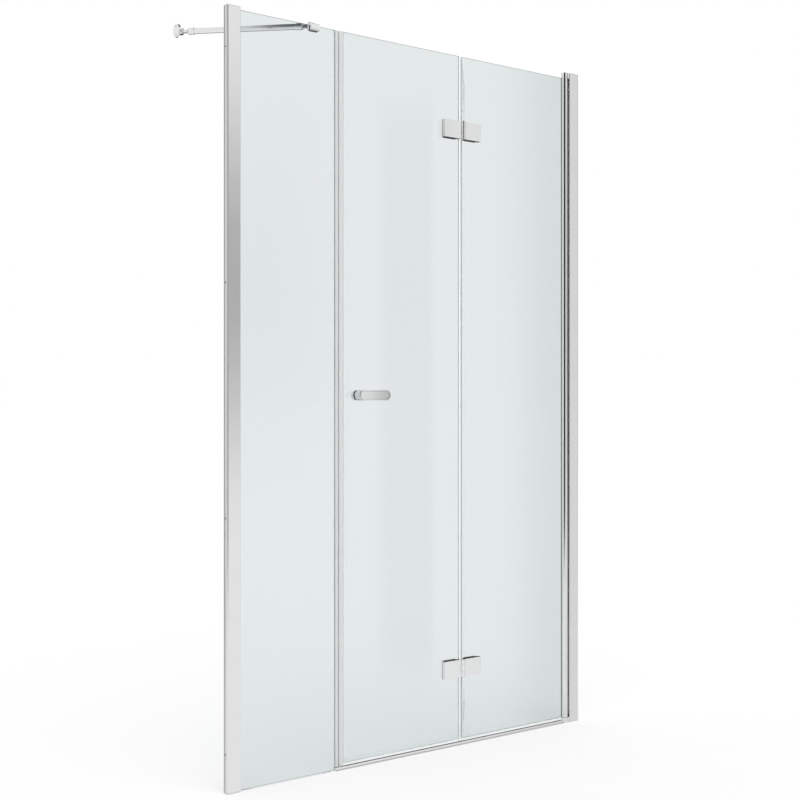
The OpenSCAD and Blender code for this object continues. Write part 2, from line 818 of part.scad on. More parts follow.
// The strip is left out behind the hinges, where their plates bridge the fold
module fold_strip() {
    clear = hinge_h / 2 + end_gap;
    ends = [sweep_lip_z, lower_hinge_z - clear, lower_hinge_z + clear,
        upper_hinge_z - clear, upper_hinge_z + clear, glass_top];
    bead_left = handle_pane_right + fold_strip_gap;
    bead_w = wall_pane_left - web_gap - bead_left;
    color(clear_strip)
        for (i = [0, 2, 4])
            translate([0, 0, ends[i]]) linear_extrude(ends[i + 1] - ends[i])
                difference() {
                    union() {
                        translate([wall_pane_left, 0]) mirror([1, 0])
                            clip_section(strip_grip, strip_wall, strip_wall);
                        translate([bead_left, -fold_bead_d / 2]) square([bead_w, fold_bead_d]);
                    }
                    translate([bead_left + strip_wall, strip_wall - fold_bead_d / 2])
                        square([bead_w - 2 * strip_wall, fold_bead_d - 2 * strip_wall]);
                }
}

// ---------- leaf hinges, drawn round a pin axis at the origin, plate towards +x ----------

module knuckle(z, h) {
    face = hinge_pin_out - plate_face;
    back = face - outer_plate_t;
    root = plate_set_back + knuckle_arm;
    translate([0, 0, z]) difference() {
        linear_extrude(h) {
            circle(knuckle_r);
            polygon([[0, 0], [root, back], [root, face], [plate_set_back, face], [0, knuckle_r]]);
        }
        translate([0, 0, -cut]) cylinder(r = hinge_pin_r + press_gap, h = h + 2 * cut);
    }
}

module running_knuckle(z, h) {
    difference() {
        knuckle(z, h);
        translate([0, 0, z - cut]) cylinder(r = hinge_pin_r + hinge_clearance, h = h + 2 * cut);
    }
}

module outer_plate() {
    screw_y = hinge_pin_out - plate_face;
    difference() {
        translate([plate_set_back, screw_y - outer_plate_t, -hinge_h / 2])
            cube([hinge_plate_w, outer_plate_t, hinge_h]);
        for (s = [-1, 1])
            translate([plate_screw_x, 0, s * hinge_screw_span / 2])
                inward_bar(hinge_screw_r + press_gap, screw_y - outer_plate_t + blind_wall,
                    outer_plate_t);
    }
}

module inner_plate() {
    y = hinge_pin_out + plate_face;
    difference() {
        translate([plate_screw_x - inner_plate_w / 2, y, -hinge_h / 2])
            cube([inner_plate_w, inner_plate_t, hinge_h]);
        for (s = [-1, 1])
            translate([plate_screw_x, 0, s * hinge_screw_span / 2]) {
                inward_bar(hinge_screw_r + pass_gap, y - cut, inner_plate_t + 2 * cut);
                translate([0, y + inner_plate_t + pass_gap, 0]) rotate([90, 0, 0])
                    cylinder(r1 = screw_head_r + 2 * pass_gap, r2 = hinge_screw_r + pass_gap,
                        h = screw_head_h + pass_gap);
            }
    }
}

// Draws a hinge piece at its height, side -1 for the handle leaf, 1 for the wall leaf
module at_hinge(z, side) {
    translate([hinge_x, -hinge_pin_out, z]) mirror([side < 0 ? 1 : 0, 0, 0]) children();
}

module wall_hinge_plate() {
    h = (hinge_h - middle_knuckle_h) / 2 - knuckle_gap;
    color(chrome) {
        outer_plate();
        for (z = [-hinge_h / 2, hinge_h / 2 - h]) knuckle(z, h);
    }
}

module handle_hinge_plate() {
    color(chrome) {
        outer_plate();
        running_knuckle(-middle_knuckle_h / 2, middle_knuckle_h);
    }
}

module hinge_pin() {
    head_h = 1.5;
    color(steel) {
        translate([0, 0, -hinge_h / 2]) cylinder(r = hinge_pin_r, h = hinge_h + head_h / 2);
        for (z = [-hinge_h / 2 - head_h, hinge_h / 2])
            translate([0, 0, z]) cylinder(r = knuckle_r - pin_head_step, h = head_h);
    }
}

// Sheet of length w between the pane and a hinge plate, with its outer face at y
module hinge_pad(y, w) {
    difference() {
        translate([plate_screw_x - w / 2, y, -hinge_h / 2]) cube([w, hinge_pad_t, hinge_h]);
        for (s = [-1, 1])
            translate([plate_screw_x, 0, s * hinge_screw_span / 2])
                inward_bar(hinge_screw_r + pass_gap, y - cut, hinge_pad_t + 2 * cut);
    }
}

module hinge_pads(side) {
    color(dark_rubber)
        for (z = hinge_heights)
            at_hinge(z, side) {
                hinge_pad(hinge_pin_out - plate_face, hinge_plate_w);
                hinge_pad(hinge_pin_out + half_glass, inner_plate_w);
            }
}

module hinge_sleeves(side) {
    color(nylon) at_hinge_screws(side) difference() {
        inward_bar(sleeve_r, -half_glass, glass_t);
        inward_bar(hinge_screw_r + pass_gap, -half_glass - cut, glass_t + 2 * cut);
    }
}

module hinge_screws(side) {
    tip = plate_face + outer_plate_t - blind_wall - fit_gap;
    head = plate_face + inner_plate_t;
    color(steel) at_hinge_screws(side) {
        inward_bar(hinge_screw_r, -tip, tip + head - screw_head_h / 2);
        translate([0, head, 0]) rotate([90, 0, 0])
            cylinder(r1 = screw_head_r, r2 = hinge_screw_r, h = screw_head_h);
    }
}

module upper_wall_hinge_plate() { at_hinge(upper_hinge_z, 1) wall_hinge_plate(); }
module lower_wall_hinge_plate() { at_hinge(lower_hinge_z, 1) wall_hinge_plate(); }
module upper_wall_inner_plate() { color(chrome) at_hinge(upper_hinge_z, 1) inner_plate(); }
module lower_wall_inner_plate() { color(chrome) at_hinge(lower_hinge_z, 1) inner_plate(); }
module wall_hinge_pads() { hinge_pads(1); }
module wall_hinge_sleeves() { hinge_sleeves(1); }
module wall_hinge_screws() { hinge_screws(1); }
module upper_hinge_pin() { at_hinge(upper_hinge_z, 1) hinge_pin(); }
module lower_hinge_pin() { at_hinge(lower_hinge_z, 1) hinge_pin(); }

module upper_handle_hinge_plate() { at_hinge(upper_hinge_z, -1) handle_hinge_plate(); }
module lower_handle_hinge_plate() { at_hinge(lower_hinge_z, -1) handle_hinge_plate(); }
module upper_handle_inner_plate() { color(chrome) at_hinge(upper_hinge_z, -1) inner_plate(); }
module lower_handle_inner_plate() { color(chrome) at_hinge(lower_hinge_z, -1) inner_plate(); }
module handle_hinge_pads() { hinge_pads(-1); }
module handle_hinge_sleeves() { hinge_sleeves(-1); }
module handle_hinge_screws() { hinge_screws(-1); }

// ---------- handle leaf ----------

module handle_leaf_glass() {
    color(glass_tint) difference() {
        leaf_pane(handle_pane_left, handle_pane_right);
        pane_screw_holes(-1);
        translate([handle_x, 0, handle_z]) inward_bar(pane_hole_r, -half_glass - cut, glass_t + 2 * cut);
    }
}

module closing_strip() {
    color(clear_strip) translate([handle_pane_left, 0, strip_foot]) mirror([1, 0, 0])
        linear_extrude(glass_top - strip_foot) magnet_strip(closing_chamber_w);
}

module closing_magnet() {
    color(white_plastic) translate([handle_pane_left, 0, strip_foot]) mirror([1, 0, 0])
        linear_extrude(glass_top - strip_foot) magnet_bar(closing_chamber_w);
}

module handle_leaf_sweep() {
    sweep(handle_pane_left + strip_grip + end_gap, handle_pane_right - end_gap);
}

module at_handle() {
    translate([handle_x, 0, handle_z]) children();
}

module handle_boss() {
    color(chrome) at_handle() difference() {
        union() {
            outward_bar(boss_r, boss_face, handle_back - boss_face - boss_groove_l);
            outward_bar(boss_r - boss_groove_depth, boss_face, handle_back - boss_face);
        }
        outward_bar(handle_bolt_r + press_gap, boss_face - cut, bolt_in_boss + cut);
    }
}

module handle_plate() {
    r = handle_h / 2;
    color(chrome) at_handle() translate([0, -handle_back, 0]) rotate([90, 0, 0])
        linear_extrude(handle_t) {
            circle(r);
            translate([0, -r]) square([handle_l - 2 * r, 2 * r]);
            translate([handle_l - 2 * r, 0]) circle(r);
        }
}

module handle_washers() {
    color(clear_strip) at_handle() both_faces() difference() {
        inward_bar(boss_r, half_glass, washer_t);
        inward_bar(handle_bolt_r + pass_gap, half_glass - cut, washer_t + 2 * cut);
    }
}

module handle_sleeve() {
    color(nylon) at_handle() difference() {
        inward_bar(sleeve_r, -half_glass, glass_t);
        inward_bar(handle_bolt_r + pass_gap, -half_glass - cut, glass_t + 2 * cut);
    }
}

module inner_knob() {
    color(chrome) at_handle() difference() {
        inward_bar(knob_r, boss_face, knob_l);
        inward_bar(handle_bolt_r + pass_gap, boss_face - cut, knob_l + 2 * cut);
        inward_bar(bolt_head_r + pass_gap, boss_face + knob_l - bolt_head_h, bolt_head_h + cut);
    }
}

module handle_bolt() {
    head_y = boss_face + knob_l - bolt_head_h;
    tip = boss_face + bolt_in_boss - blind_wall;
    color(steel) at_handle() {
        inward_bar(handle_bolt_r, -tip, tip + head_y + bolt_head_h / 2);
        inward_bar(bolt_head_r, head_y, bolt_head_h);
    }
}

// ---------- nodes ----------

left_wall_channel();
left_cover_profile();
left_end_caps();
left_lock_screws();
fixed_glass();
fixed_glass_gasket();
setting_blocks();
strike_strip();
strike_magnet();
stay_clamp();
stay_clamp_lining();
stay_grub_screw();
stay_swivels();
stay_swivel_screws();
stay_bar();
stay_wall_flange();
right_wall_channel();
right_cover_profile();
right_end_caps();
right_lock_screws();
post_strip();
upper_pivot_block();
lower_pivot_block();
pivot_pins();
threshold_rail();
hinge_post();
post_bushes();
wall_leaf_glass();
wall_leaf_gasket();
wall_leaf_sweep();
fold_strip();
upper_wall_hinge_plate();
lower_wall_hinge_plate();
upper_wall_inner_plate();
lower_wall_inner_plate();
wall_hinge_pads();
wall_hinge_sleeves();
wall_hinge_screws();
upper_hinge_pin();
lower_hinge_pin();
handle_leaf_glass();
closing_strip();
closing_magnet();
handle_leaf_sweep();
upper_handle_hinge_plate();
lower_handle_hinge_plate();
upper_handle_inner_plate();
lower_handle_inner_plate();
handle_hinge_pads();
handle_hinge_sleeves();
handle_hinge_screws();
handle_boss();
handle_plate();
handle_washers();
handle_sleeve();
inner_knob();
handle_bolt();
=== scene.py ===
"""Looks of a frameless bifold shower front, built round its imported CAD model.

Lengths are in millimetres while a piece is shaped, and in metres once it is placed.
X runs along the front, Y into the shower, Z up from the tray.
"""

import json
import logging
import math
from collections.abc import Iterable, Mapping, Sequence
from dataclasses import dataclass, field, replace
from enum import Enum
from typing import Any

import bmesh
import bpy
from bmesh.types import BMEdge, BMesh, BMFace, BMVert
from mathutils import Matrix, Vector

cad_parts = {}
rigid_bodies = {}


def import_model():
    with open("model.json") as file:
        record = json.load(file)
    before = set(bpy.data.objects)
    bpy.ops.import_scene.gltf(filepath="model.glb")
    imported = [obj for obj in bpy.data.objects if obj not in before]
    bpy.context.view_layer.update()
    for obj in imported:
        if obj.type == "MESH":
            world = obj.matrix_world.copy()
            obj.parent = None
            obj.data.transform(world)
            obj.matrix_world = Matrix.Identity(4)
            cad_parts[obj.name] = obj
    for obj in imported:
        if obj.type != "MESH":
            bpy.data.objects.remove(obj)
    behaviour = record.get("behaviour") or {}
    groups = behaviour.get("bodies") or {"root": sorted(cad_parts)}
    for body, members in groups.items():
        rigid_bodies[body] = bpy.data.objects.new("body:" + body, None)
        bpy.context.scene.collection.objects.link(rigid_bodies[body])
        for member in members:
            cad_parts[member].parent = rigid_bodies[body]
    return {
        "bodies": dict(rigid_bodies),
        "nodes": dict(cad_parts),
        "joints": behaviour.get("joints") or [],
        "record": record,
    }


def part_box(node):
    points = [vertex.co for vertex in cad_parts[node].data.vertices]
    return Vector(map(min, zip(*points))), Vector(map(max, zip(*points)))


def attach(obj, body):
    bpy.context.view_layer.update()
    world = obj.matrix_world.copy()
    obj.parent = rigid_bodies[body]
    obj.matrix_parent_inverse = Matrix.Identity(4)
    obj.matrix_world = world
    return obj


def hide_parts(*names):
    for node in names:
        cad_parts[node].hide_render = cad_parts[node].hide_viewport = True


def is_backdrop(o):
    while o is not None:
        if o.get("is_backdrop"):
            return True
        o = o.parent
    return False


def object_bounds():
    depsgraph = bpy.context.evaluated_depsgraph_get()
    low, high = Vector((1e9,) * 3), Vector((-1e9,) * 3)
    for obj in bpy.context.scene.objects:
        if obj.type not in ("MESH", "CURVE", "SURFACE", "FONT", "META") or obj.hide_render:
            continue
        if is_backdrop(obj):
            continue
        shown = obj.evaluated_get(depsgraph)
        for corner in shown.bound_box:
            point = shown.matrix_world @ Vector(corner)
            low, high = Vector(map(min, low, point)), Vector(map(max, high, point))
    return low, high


LOG = logging.getLogger("shower_front")
MM = 0.001
DEGREES = 180 / math.pi
ORIGIN = (0.0, 0.0, 0.0)
ARC_SHARE = 0.9999  # an arc stops just short of its neighbour, so that no edge shrinks to a point
JOIN = 0.0005  # points closer than this, in millimetres, are one point
HOLE_STEPS, HEAD_STEPS, FINE_STEPS, HEXAGON = 32, 36, 64, 6
Pair = tuple[float, float]
Triple = tuple[float, float, float]
Point = Pair
Input = Any  # a number, a tuple, a Value or a socket


# ---- shader maths


class Value:
    """A shader socket that takes part in Python arithmetic."""

    def __init__(self, graph: "Graph", socket: bpy.types.NodeSocket) -> None:
        """Wraps one output socket of a graph."""
        self.graph = graph
        self.socket = socket

    def __add__(self, other: Input) -> "Value":
        """Sum."""
        return self.graph.math("ADD", self, other)

    __radd__ = __add__

    def __mul__(self, other: Input) -> "Value":
        """Product."""
        return self.graph.math("MULTIPLY", self, other)

    __rmul__ = __mul__

    def __sub__(self, other: Input) -> "Value":
        """Difference."""
        return self.graph.math("SUBTRACT", self, other)

    def __rsub__(self, other: Input) -> "Value":
        """Difference from a number."""
        return self.graph.math("SUBTRACT", other, self)

    def __truediv__(self, other: Input) -> "Value":
        """Quotient."""
        return self.graph.math("DIVIDE", self, other)

    def __abs__(self) -> "Value":
        """Size without sign."""
        return self.graph.math("ABSOLUTE", self)

    def max(self, other: Input) -> "Value":
        """The larger of two values."""
        return self.graph.math("MAXIMUM", self, other)

    def step(self, low: float, high: float) -> "Value":
        """Rises smoothly from 0 at low to 1 at high.

        Args:
            low: value at which the result is 0.
            high: value at which the result is 1.

        Returns:
            The smooth step.
        """
        node = self.graph.node(
            "ShaderNodeMapRange",
            {"interpolation_type": "SMOOTHSTEP"},
            {"Value": self, "From Min": low, "From Max": high},
        )
        return Value(self.graph, node.outputs["Result"])


class Graph:
    """The node tree of one material or world."""

    def __init__(self, tree: bpy.types.NodeTree) -> None:
        """Starts with an empty tree."""
        self.tree = tree
        tree.nodes.clear()

    def node(
        self,
        kind: str,
        settings: Mapping[str, Any] | None = None,
        inputs: Mapping[Any, Input] | None = None,
    ) -> bpy.types.Node:
        """Adds one node.

        Args:
            kind: Blender's name of the node type.
            settings: properties of the node; "stops" holds a ramp's (place, colour) pairs.
            inputs: values or links, by socket name or number.

        Returns:
            The new node.
        """
        made = self.tree.nodes.new(kind)
        for name, value in (settings or {}).items():
            if name == "stops":
                ramp = made.color_ramp
                while len(ramp.elements) < len(value):
                    ramp.elements.new(1.0)
                for element, (place, colour) in zip(ramp.elements, value):
                    element.position, element.color = place, colour
            else:
                setattr(made, name, value)
        for name, value in (inputs or {}).items():
            self.feed(made.inputs[name], value)
        return made

    def feed(self, socket: bpy.types.NodeSocket, value: Input) -> None:
        """Sets a socket's value, or links it."""
        if isinstance(value, Value):
            self.tree.links.new(value.socket, socket)
        elif isinstance(value, bpy.types.NodeSocket):
            self.tree.links.new(value, socket)
        else:
            socket.default_value = value

    def math(self, operation: str, *values: Input) -> Value:
        """Works out one Math operation on values."""
        node = self.node("ShaderNodeMath", {"operation": operation}, dict(enumerate(values)))
        return Value(self, node.outputs[0])

    def coordinates(self, scale: Triple = (1.0, 1.0, 1.0)) -> bpy.types.NodeSocket:
        """Object coordinates in metres, stretched by a scale along each axis.

        Args:
            scale: factors along X, Y and Z.

        Returns:
            The vector socket.
        """
        place = self.node("ShaderNodeTexCoord").outputs["Object"]
        mapped = self.node("ShaderNodeMapping", inputs={"Vector": place, "Scale": scale})
        return mapped.outputs["Vector"]

    def noise(
        self,
        scale: float,
        stretch: Triple = (1.0, 1.0, 1.0),
        detail: float = 3.0,
    ) -> Value:
        """Soft noise between 0 and 1.

        Args:
            scale: features in one metre.
            stretch: factors along the axes, small where the pattern is drawn out.
            detail: octaves.

        Returns:
            The noise value.
        """
        node = self.node(
            "ShaderNodeTexNoise",
            inputs={"Vector": self.coordinates(stretch), "Scale": scale, "Detail": detail},
        )
        return Value(self, node.outputs[0])

    def blend(self, share: Input, first: Input, second: Input) -> Value:
        """Mixes two colours.

        Args:
            share: 0 for the first colour, 1 for the second.
            first: colour as four numbers, or a link.
            second: colour as four numbers, or a link.

        Returns:
            The mixed colour.
        """
        node = self.node("ShaderNodeMix", {"data_type": "RGBA"}, {0: share, 6: first, 7: second})
        return Value(self, node.outputs[2])

    def bump(self, height: Value, depth: float) -> bpy.types.NodeSocket:
        """Turns a height into a normal.

        Args:
            height: height between 0 and 1.
            depth: metres between heights 0 and 1.

        Returns:
            The normal socket.
        """
        node = self.node("ShaderNodeBump", inputs={"Height": height, "Distance": depth})
        return node.outputs["Normal"]

    def split(self, vector: bpy.types.NodeSocket) -> list[Value]:
        """The three parts of a vector."""
        node = self.node("ShaderNodeSeparateXYZ", inputs={0: vector})
        return [Value(self, part) for part in node.outputs]

    def surface(self, shader: bpy.types.NodeSocket) -> None:
        """Links a shader to the material's output."""
        self.node("ShaderNodeOutputMaterial", inputs={"Surface": shader})


def rgba(red: float, green: float, blue: float) -> tuple[float, float, float, float]:
    """A linear colour with full alpha."""
    return (red, green, blue, 1.0)


# ---- finishes


@dataclass(frozen=True)
class Finish:
    """A finish of the shower front, made once and shared by its pieces."""

    name: str

    def shader(self, graph: Graph) -> bpy.types.NodeSocket:
        """Draws the finish; each kind of finish has its own."""
        raise NotImplementedError

    def material(self) -> bpy.types.Material:
        """Finds or makes the material.

        Returns:
            The material of this finish.
        """
        found = bpy.data.materials.get(self.name)
        if found is None:
            found = bpy.data.materials.new(self.name)
            found.use_nodes = True
            graph = Graph(found.node_tree)
            graph.surface(self.shader(graph))
        return found


@dataclass(frozen=True)
class Polished(Finish):
    """Polished or satin metal with faint wipe marks and an uneven gloss."""

    pale: Triple = (0.86, 0.865, 0.87)
    deep: Triple = (0.80, 0.805, 0.815)
    gloss: Pair = (0.05, 0.11)
    drawn: Triple = (1.0, 1.0, 1.0)
    grain: float = 260.0
    depth: float = 0.000004  # metres
    cloud: float = 14.0
    tone_shares: Pair = (0.6, 0.4)  # of the clouds and of the streaks
    gloss_shares: Pair = (0.3, 0.7)

    def shader(self, graph: Graph) -> bpy.types.NodeSocket:
        """Draws the metal.

        Args:
            graph: the material's graph.

        Returns:
            The shader socket.
        """
        cloud = graph.noise(self.cloud, detail=2.0)
        streak = graph.noise(self.grain, self.drawn, 4.0)
        soft, fine = self.tone_shares
        tone = graph.blend(cloud * soft + streak * fine, rgba(*self.deep), rgba(*self.pale))
        low, high = self.gloss
        soft, fine = self.gloss_shares
        rough = low + (streak * fine + cloud * soft) * (high - low)
        return graph.node(
            "ShaderNodeBsdfPrincipled",
            inputs={
                "Base Color": tone,
                "Metallic": 1.0,
                "Roughness": rough,
                "Normal": graph.bump(streak, self.depth),
            },
        ).outputs["BSDF"]


@dataclass(frozen=True)
class Moulded(Finish):
    """Moulded plastic or rubber with a fine grain and slight mottling."""

    pale: Triple = (0.8, 0.8, 0.8)
    deep: Triple = (0.7, 0.7, 0.7)
    gloss: Pair = (0.35, 0.5)
    grain: float = 900.0
    depth: float = 0.00002
    mottle: float = 45.0

    def shader(self, graph: Graph) -> bpy.types.NodeSocket:
        """Draws the plastic.

        Args:
            graph: the material's graph.

        Returns:
            The shader socket.
        """
        mottle = graph.noise(self.mottle, detail=3.0)
        grain = graph.noise(self.grain, detail=2.0)
        low, high = self.gloss
        return graph.node(
            "ShaderNodeBsdfPrincipled",
            inputs={
                "Base Color": graph.blend(mottle, rgba(*self.deep), rgba(*self.pale)),
                "Roughness": low + grain * (high - low),
                "Normal": graph.bump(grain, self.depth),
            },
        ).outputs["BSDF"]


@dataclass(frozen=True)
class Clear(Finish):
    """Glass or clear plastic, which tints what is seen through it and lets lamps through."""

    pale: Triple = (0.8, 0.83, 0.83)
    deep: Triple = (0.77, 0.8, 0.8)
    gloss: Pair = (0.0, 0.02)
    index: float = 1.5
    mottle: float = 700.0
    wave: float = 0.0
    passed: float = 0.95  # share of a lamp's light that goes through
    plain: float = 0.0  # share that is seen through unbent, without reflections
    shade: Triple = (0.0, 1.0, 0.0)  # painted shade: its start and end along X, in metres, and its depth
    # colour that the painted shade darkens towards
    shadow: Triple = (0.6, 0.66, 0.65)
    cloud: float = 2.2
    wave_scale: float = 5.0
    rough_specks: Pair = (0.45, 0.8)

    def shader(self, graph: Graph) -> bpy.types.NodeSocket:
        """Draws the clear finish.

        Args:
            graph: the material's graph.

        Returns:
            The shader socket.
        """
        speck = graph.noise(self.mottle, detail=2.0)
        cloud = graph.noise(self.cloud, detail=1.0)
        low, high = self.gloss
        colour = graph.blend(speck * 0.5 + cloud * 0.5, rgba(*self.deep), rgba(*self.pale))
        start, end, depth = self.shade
        if depth:
            # painted shade: the glass darkens towards the shade colour along X
            share = graph.split(graph.coordinates())[0].step(start, end) * depth
            colour = graph.blend(share, colour, rgba(*self.shadow))
        inputs = {
            "Base Color": colour,
            "Roughness": low + speck.step(*self.rough_specks) * (high - low),
            "Transmission Weight": 1.0,
            "IOR": self.index,
        }
        if self.wave:
            inputs["Normal"] = graph.bump(graph.noise(self.wave_scale, detail=1.0), self.wave)
        body = graph.node("ShaderNodeBsdfPrincipled", inputs=inputs)
        tint = [self.passed * c / max(self.pale) for c in self.pale]
        lit = graph.node("ShaderNodeBsdfTransparent", inputs={"Color": rgba(*tint)})
        path = graph.node("ShaderNodeLightPath")
        share = Value(graph, path.outputs["Is Shadow Ray"]).max(self.plain)
        return graph.node(
            "ShaderNodeMixShader", inputs={0: share, 1: body.outputs[0], 2: lit.outputs[0]}
        ).outputs[0]


PANE = Clear("pane_glass", (0.79, 0.825, 0.83), (0.765, 0.80, 0.805), wave=0.00004, passed=0.93)
# painted shade: the wall leaf's glass darkens towards the post
POST_PANE_PAINTED_SHADE = replace(PANE, name="post_pane_glass_painted_shade", shade=(0.25, 0.56, 0.6))
PANE_EDGE = Moulded("pane_edge", (0.86, 0.92, 0.91), (0.77, 0.84, 0.83), (0.15, 0.3), 2500.0, 0.00001)
STRIP = Clear(
    "clear_plastic", (0.985, 0.99, 0.99), (0.96, 0.967, 0.967), (0.0, 0.08), 1.12, 400.0, 0.0, 0.995, 0.8
)
CHROME = Polished("chrome_plate")
PROFILE = Polished(
    "bright_profile", (0.85, 0.85, 0.85), (0.79, 0.79, 0.79), (0.09, 0.17), (1.0, 1.0, 0.012), 900.0
)
CHANNEL = Polished(
    "satin_channel", (0.72, 0.725, 0.73), (0.64, 0.645, 0.65), (0.28, 0.42), (1, 1, 0.01), 700.0, 0.00001
)
STEEL = Polished("turned_steel", (0.70, 0.70, 0.71), (0.60, 0.60, 0.61), (0.14, 0.28), grain=1400.0)
# painted shade: near-black metal laid in the handle boss's groove, where shade falls
GROOVE_PAINTED_SHADE = Polished("groove_painted_shade", (0.07, 0.072, 0.075), (0.03, 0.03, 0.032), (0.15, 0.3), grain=1200.0)
# painted dark reflection: darker metal on the sides of chrome plates, for the dark room they would mirror
DARK_REFLECTION_SIDE = Polished("plate_side_painted_reflection", (0.36, 0.365, 0.37), (0.28, 0.285, 0.29), (0.12, 0.2))
RUBBER = Moulded("grey_rubber", (0.16, 0.17, 0.175), (0.10, 0.105, 0.11), (0.55, 0.75))
GASKET = Moulded("pale_gasket", (0.86, 0.88, 0.88), (0.78, 0.80, 0.80), (0.3, 0.45))
NYLON = Moulded("white_nylon", (0.82, 0.82, 0.79), (0.74, 0.74, 0.71), (0.35, 0.5))
MAGNET = Moulded("magnet_bar", (0.95, 0.96, 0.96), (0.90, 0.91, 0.91), (0.3, 0.45))
CAP = Moulded("end_cap", (0.74, 0.745, 0.745), (0.68, 0.685, 0.685), (0.22, 0.34), 1400.0, 0.00001)
FINISH_OF_SLOT: dict[str, Finish] = {
    "clear_glass": PANE,
    "clear_strip": STRIP,
    "soft_rubber": RUBBER,
    "nylon": NYLON,
    "magnet": MAGNET,
    "cap_plastic": CAP,
    "steel": STEEL,
    "raw_aluminium": CHANNEL,
    "bright_aluminium": PROFILE,
    "chrome": CHROME,
}


# ---- shaping


class Plane(Enum):
    """The plane that an outline is drawn in, and the way it is raised from it."""

    XY = Matrix(((1, 0, 0), (0, 1, 0), (0, 0, 1)))
    YZ = Matrix(((0, 0, 1), (1, 0, 0), (0, 1, 0)))
    XZ_OUT = Matrix(((1, 0, 0), (0, 0, -1), (0, 1, 0)))
    XZ_IN = Matrix(((1, 0, 0), (0, 0, 1), (0, -1, 0)))


@dataclass(frozen=True)
class Corner:
    """One corner of an outline, rounded by a radius."""

    u: float
    v: float
    radius: float = 0.0


@dataclass(frozen=True)
class Head:
    """A screw head with a hexagon socket.

    A foot radius makes it countersunk, and its shank runs into it as far as its bite.
    """

    radius: float
    height: float
    key: float  # radius of the socket's corners
    depth: float  # of the socket
    foot: float = 0.0
    bite: float = 0.2


@dataclass(frozen=True)
class Span:
    """The box of a CAD node at rest, in millimetres."""

    low: Vector
    high: Vector

    @classmethod
    def of(cls, node: str) -> "Span":
        """Reads the box of a node."""
        low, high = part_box(node)
        return cls(low / MM, high / MM)

    @property
    def middle(self) -> Vector:
        """The middle of the box."""
        return (self.low + self.high) / 2

    @property
    def size(self) -> Vector:
        """The size of the box."""
        return self.high - self.low


def rounded_box(width: float, height: float, radius: float) -> list[Corner]:
    """Corners of a rounded rectangle round the origin."""
    signs = ((-1, -1), (1, -1), (1, 1), (-1, 1))
    return [Corner(a * width / 2, b * height / 2, radius) for a, b in signs]


def mirrored(half: Sequence[Corner], u: int = 1, v: int = -1) -> list[Corner]:
    """Closes an outline with the mirror image of its first half.

    Args:
        half: corners of the first half, in order.
        u: -1 where the image lies across u = 0.
        v: -1 where it lies across v = 0.

    Returns:
        The corners of the whole outline.
    """
    return [*half, *(Corner(c.u * u, c.v * v, c.radius) for c in reversed(half))]


